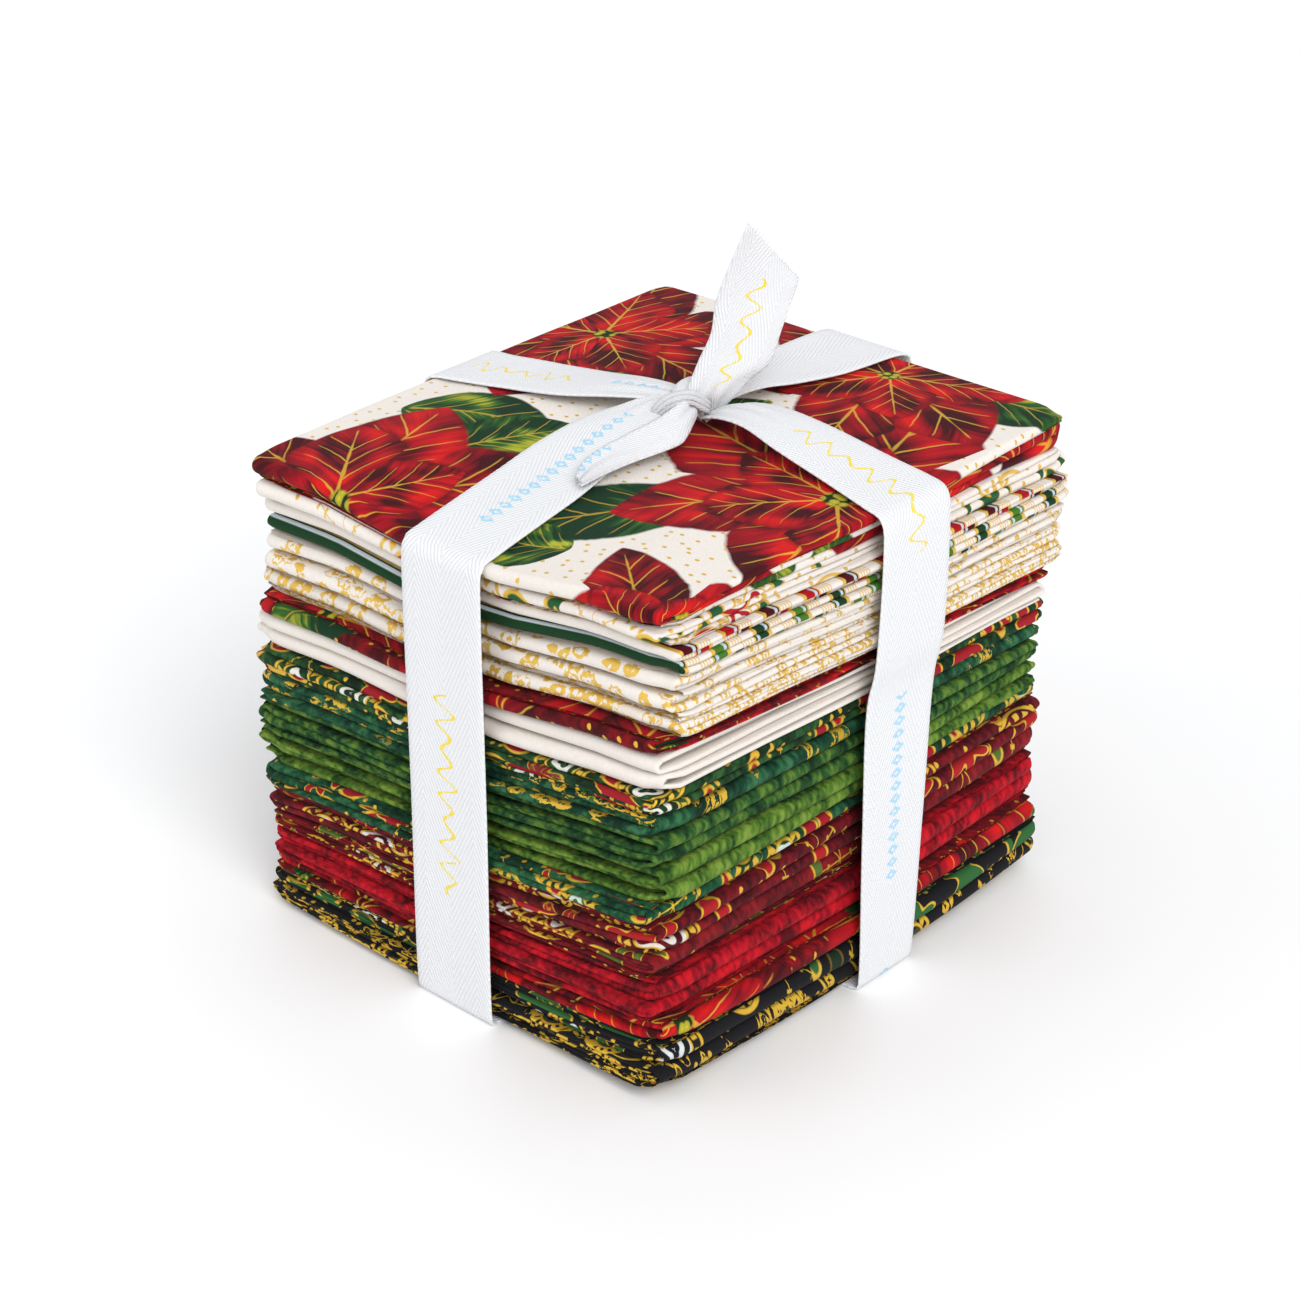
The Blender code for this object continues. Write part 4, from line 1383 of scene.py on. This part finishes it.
def tape_finish():
    levels = {"Roughness": 0.8, "Specular_IOR_Level": 0.3, "Sheen_Weight": 0.08}
    finish, tree, shader = new_finish("ribbon_finish", **levels)
    u, v = place_on_cloth(tree)
    column = v * (CHEVRON_COLUMNS / TAPE_WIDE)
    fold = calc("PINGPONG", column + 0.5, 1.0) * (TAPE_WIDE / CHEVRON_COLUMNS)
    line = calc("SINE", (fold + u * TWILL_SLOPE) * (2.0 * math.pi / TWILL_PITCH))
    pick = calc("SINE", u * (2.0 * math.pi / PICK))
    end = calc("SINE", v * (2.0 * math.pi / PICK))
    twill = 0.5 + 0.34 * line + 0.16 * pick * end
    slub = noise(vector(u, v), 0.8, 3.0)
    blue = yellow = 0.0
    for start, stop, is_yellow in TAPE_PRINT:
        within = below(abs(u - (start + stop) / 2.0), (stop - start) / 2.0, 0.2)
        blue, yellow = (blue, within + yellow) if is_yellow else (within + blue, yellow)
    middle = v - TAPE_WIDE / 2.0
    step = abs(calc("FRACT", u / DIAMOND_STEP) - 0.5) * DIAMOND_STEP
    diamond = below(step / 1.5 + abs(middle) / 2.5, 1.0, 0.25)
    diamond = diamond * (1.0 - below(step / 0.5 + abs(middle) / 0.8, 1.0, 0.3))
    swing = calc("SINE", u * 0.95) * (2.3 + 1.0 * calc("SINE", u * 0.31))
    runs = below(abs(middle - swing), 0.62, 0.25) * below(noise(vector(u, v), 0.5), 0.66, 0.05)
    # Here it is the print's wear alone, with no shade: the slubs rub the blue and yellow marks off in
    # patches.
    weave_shade_and_wear = below(slub, 0.62, 0.15)
    # Painted shade: the white tape greys towards blue where the twill lies low, in its grooves and between
    # its threads.
    colour = blend(0.42 * (1.0 - twill), (0.82, 0.825, 0.835), (0.54, 0.56, 0.60))
    colour = blend(blue * diamond * weave_shade_and_wear * 0.85, colour, (0.32, 0.62, 0.82))
    colour = blend(yellow * runs * weave_shade_and_wear * 0.95, colour, (0.86, 0.66, 0.02))
    feed(tree, shader.inputs["Base Color"], colour)
    add_bump(tree, shader, 0.8, 0.3, twill + 0.4 * slub)
    return finish


twill_cotton = tape_finish()
for name, piece in tapes.items():
    spots = np.empty(len(piece.data.loops) * 2, np.float32)
    piece.data.uv_layers["cloth"].data.foreach_get("uv", spots)
    spots[::2] += TAPE_START[name] * MM
    piece.data.uv_layers["cloth"].data.foreach_set("uv", spots)
    piece.data.materials.append(twill_cotton)
print("finishes:", len(bpy.data.materials))

# %% [markdown]
# ## Woven edge, cut ends and a loose thread
#
# Where the weft turns back it leaves a row of small loops down each edge of the tape, which
# makes the edge look finely scalloped. At a cut end the warp stands out in short threads. Both
# follow an edge and repeat, so Geometry Nodes place them: one tree sets a bead at each loop,
# the other draws a thread along each path. One loose thread hangs from the gold creams.

# %% Woven edge, cut ends and a loose thread
LOOP_STEP = 1.05  # all in mm
LOOP_LONG = 1.0
LOOP_WIDE = 0.62
LOOP_UNEVEN = (0.85, 1.1)  # the smallest and the largest bead, against its size
FRAY_STEP = 1.1
THREAD_WIDE = 0.22
SPUN = 4.0  # tufts a millimetre
SPUN_DARK = (0.7, 0.64, 0.57)
LOOSE_THREAD = (
    # x, y, height
    (72.8, -23.4, 114.6),
    (74.2, -21.4, 113.6),
    (74.8, -17.7, 111.2),
    (74.9, -14.3, 109.2),
    (74.8, -11.5, 106.9),
    (74.7, -10.9, 105.6),
    (74.6, -12.0, 104.9),
)


class Shapes:
    """A Geometry Nodes tree with named inputs, joined a node at a time."""

    def __init__(self, name, sizes):
        self.tree = bpy.data.node_groups.new(name, "GeometryNodeTree")
        self.tree.interface.new_socket("Geometry", in_out="INPUT", socket_type="NodeSocketGeometry")
        for title, (kind, value) in sizes.items():
            socket = self.tree.interface.new_socket(title, in_out="INPUT", socket_type="NodeSocket" + kind)
            if value is not None:
                socket.default_value = value
        self.tree.interface.new_socket("Geometry", in_out="OUTPUT", socket_type="NodeSocketGeometry")
        self.given = self.tree.nodes.new("NodeGroupInput")

    def size(self, title):
        return self.given.outputs[title]

    def put(self, kind, settings=None, **links):
        """A node of a kind, with its settings, and its inputs by name (spaces as underscores)."""
        node = self.tree.nodes.new(kind)
        for title, value in (settings or {}).items():
            setattr(node, title, value)
        for title, value in links.items():
            socket = node.inputs[title.replace("_", " ")]
            if isinstance(value, bpy.types.NodeSocket):
                self.tree.links.new(value, socket)
            else:
                socket.default_value = value
        return node.outputs[0]

    def finish(self, shape):
        real = self.put("GeometryNodeRealizeInstances", Geometry=shape)
        done = self.put("GeometryNodeSetMaterial", Geometry=real, Material=self.size("Material"))
        out = self.tree.nodes.new("NodeGroupOutput")
        self.tree.links.new(done, out.inputs[0])
        return self.tree


def loops_tree():
    """A bead at each loop of the weft, along the paths of a wire."""
    sizes = {"Step": ("Float", LOOP_STEP * MM), "Long": ("Float", LOOP_LONG * MM),
             "Wide": ("Float", LOOP_WIDE * MM), "Seed": ("Int", 5), "Material": ("Material", None)}
    s = Shapes("woven edge", sizes)
    curve = s.put("GeometryNodeMeshToCurve", Mesh=s.size("Geometry"))
    places = s.put("GeometryNodeResampleCurve", {"mode": "LENGTH"}, Curve=curve, Length=s.size("Step"))
    bead = s.put("GeometryNodeMeshUVSphere", Segments=6, Rings=4, Radius=0.5)
    luck = s.put("FunctionNodeRandomValue", {"data_type": "FLOAT"}, Seed=s.size("Seed"))
    for socket, value in zip(luck.node.inputs[2:4], LOOP_UNEVEN):
        socket.default_value = value
    scale = s.put("ShaderNodeCombineXYZ", X=s.size("Long"), Y=s.size("Wide"), Z=s.size("Wide"))
    uneven = s.tree.nodes.new("ShaderNodeVectorMath")
    uneven.operation = "SCALE"
    s.tree.links.new(scale, uneven.inputs[0])
    s.tree.links.new(luck.node.outputs[1], uneven.inputs["Scale"])
    tangent = s.put("GeometryNodeInputTangent")
    turned = s.put("FunctionNodeAlignRotationToVector", {"axis": "X"}, Vector=tangent)
    beads = s.put("GeometryNodeInstanceOnPoints", Points=places, Instance=bead, Rotation=turned,
                  Scale=uneven.outputs[0])
    return s.finish(beads)


def threads_tree():
    """A thread along each path of a wire."""
    sizes = {"Wide": ("Float", THREAD_WIDE * MM), "Sides": ("Int", 5), "Material": ("Material", None)}
    s = Shapes("threads", sizes)
    curve = s.put("GeometryNodeMeshToCurve", Mesh=s.size("Geometry"))
    half = s.put("ShaderNodeMath", {"operation": "MULTIPLY"})
    s.tree.links.new(s.size("Wide"), half.node.inputs[0])
    half.node.inputs[1].default_value = 0.5
    ring = s.put("GeometryNodeCurvePrimitiveCircle", Resolution=s.size("Sides"), Radius=half)
    tube = s.put("GeometryNodeCurveToMesh", Curve=curve, Profile_Curve=ring, Fill_Caps=True)
    return s.finish(tube)


def grown(name, paths, tree, finish):
    """The plain mesh that a tree makes along some paths, given in millimetres."""
    points, lines = [], []
    for path in paths:
        first = len(points)
        points += (np.array(path) * MM).tolist()
        lines += [(first + i, first + i + 1) for i in range(len(path) - 1)]
    wire = bpy.data.meshes.new(name)
    wire.from_pydata(points, lines, [])
    made = new_object(name, wire)
    modifier = made.modifiers.new("shape", "NODES")
    modifier.node_group = tree
    for item in tree.interface.items_tree:
        if item.name == "Material":
            modifier[item.identifier] = finish
    seen = made.evaluated_get(bpy.context.evaluated_depsgraph_get())
    mesh = bpy.data.meshes.new_from_object(seen)
    made.modifiers.clear()
    made.data = mesh
    mesh.shade_smooth()
    return made


def added(piece, extra):
    """Joins an extra mesh to a piece, which keeps its own materials."""
    shape = bmesh.new()
    shape.from_mesh(piece.data)
    shape.from_mesh(extra.data)
    shape.to_mesh(piece.data)
    shape.free()
    piece.data.shade_smooth()
    bpy.data.objects.remove(extra)


def frayed(rows, end, random):
    """Short threads out of a tape's cut end: paths from its last row on, each a little askew."""
    edge, inner = (rows[-1], rows[-2]) if end > 0 else (rows[0], rows[1])
    out = edge - inner
    out /= np.linalg.norm(out, axis=-1, keepdims=True)
    wide = np.linalg.norm(np.diff(edge, axis=0), axis=-1).sum()
    paths = []
    for share in np.linspace(0.03, 0.97, max(3, int(wide / FRAY_STEP))):
        place = share * (len(edge) - 1)
        i = int(place)
        start = mix(edge[i], edge[i + 1], place - i)
        long = random.uniform(0.3, 1.0)
        aside = random.uniform(-0.35, 0.35, 3)
        path = [start - out[i] * 0.5, start + out[i] * long * 0.5 + aside * 0.3]
        path.append(start + out[i] * long + aside)
        paths.append(np.array(path) + (SHIFT_X, SHIFT_Y, 0.0))
    return paths


edge_tree = loops_tree()
thread_tree = threads_tree()
random = np.random.default_rng(11)
for name, rows in routes.items():
    sides = [rows[:, side] + (SHIFT_X, SHIFT_Y, 0.0) for side in (0, -1)]
    loops = grown(name + "_loops", sides, edge_tree, twill_cotton)
    print(name, "edge faces:", len(loops.data.polygons))
    added(tapes[name], loops)
    if "_end_" in name:
        added(tapes[name], grown(name + "_fray", frayed(rows, 1, random), thread_tree, twill_cotton))



def thread_finish():
    """Spun cotton in the cloth's cream, with the unevenness of its spinning."""
    finish, tree, shader = new_finish("thread_finish", Roughness=0.9)
    place = Field(tree, tree.nodes.new("ShaderNodeTexCoord").outputs["Object"])
    spun = noise(place, SPUN / MM)
    feed(tree, shader.inputs["Base Color"], blend(spun, SPUN_DARK, CREAM))
    add_bump(tree, shader, 1.0, 0.05, spun)
    return finish


loose = through(LOOSE_THREAD, 0.8) + (SHIFT_X, SHIFT_Y, 0.0)
loose_thread = grown("loose_thread", [loose], thread_tree, thread_finish())

# %% [markdown]
# ## Floor, light and camera
#
# The bundle was photographed in soft light from all round, so its shadows are faint. A bright
# plain world gives that, a broad sun from above on the left shapes the folds, and a weak square
# lamp lifts the front. A long lens from farther off keeps the upright edges nearly parallel.

# %% Floor, light and camera
world = bpy.data.worlds.new("studio")
world.use_nodes = True
world.node_tree.nodes["Background"].inputs["Color"].default_value = (0.97, 0.98, 1.0, 1.0)
world.node_tree.nodes["Background"].inputs["Strength"].default_value = 0.76
bpy.context.scene.world = world
bpy.context.scene.view_settings.view_transform = "Standard"

floor_mesh = bpy.data.meshes.new("floor")
floor_mesh.from_pydata([(-3, -3, 0), (3, -3, 0), (3, 3, 0), (-3, 3, 0)], [], [(0, 1, 2, 3)])
floor = new_object("floor", floor_mesh)
floor_mesh.materials.append(new_finish("paper", Base_Color=(0.9, 0.9, 0.9, 1.0))[0])


def looking(direction):
    """The turn of a light or a camera that looks this way."""
    return Vector(direction).to_track_quat("-Z", "Y").to_euler()


sun_data = bpy.data.lights.new("key", "SUN")
sun_data.angle = math.radians(40.0)
sun_data.energy = 1.95
sun = new_object("key", sun_data)
sun.rotation_euler = looking((-1.0, 0.45, -1.0))

fill_data = bpy.data.lights.new("fill", "AREA")
fill_data.size = 0.9
fill_data.energy = 3.0
fill = new_object("fill", fill_data)
fill.location = (-0.7, -1.1, 0.6)
fill.rotation_euler = looking(Vector((0.0, 0.0, 0.07)) - Vector((-0.7, -1.1, 0.6)))

camera_data = bpy.data.cameras.new("camera")
camera_data.sensor_width = 36.0
camera_data.lens = 84.2
camera = new_object("camera", camera_data)
camera.location = (0.4644, -0.50955, 0.4315)
camera.rotation_euler = looking(Vector((0.00007, -0.00258, 0.06926)) - camera.location)
bpy.context.scene.camera = camera
print("lights:", sun.name, fill.name, "lens:", camera_data.lens, "mm")

# %% [markdown]
# ## Each piece in its solid's place
#
# Each piece hangs from one root empty, and the frame's solid of the same name is hidden, so that
# the piece shows in its place. Every quarter rests on the one below it, and the lowest on the tape.

# %% Hang each piece from the root and hide its solid
for k, row in enumerate(QUARTERS):
    name = row[0]
    piece = sheets[name]
    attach(piece, "root")
    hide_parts(name)
    hanging = [loose_thread] if name == "gold_sparse" else []

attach(loose_thread, "root")

for name, piece in tapes.items():
    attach(piece, "root")
    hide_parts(name)
    flat = (TAPE_WIDE * MM, lengths[name] * MM)
    cut = 0.75 * flat[0] * flat[1] if "_end_" in name else None  # the ends are cut on a slant
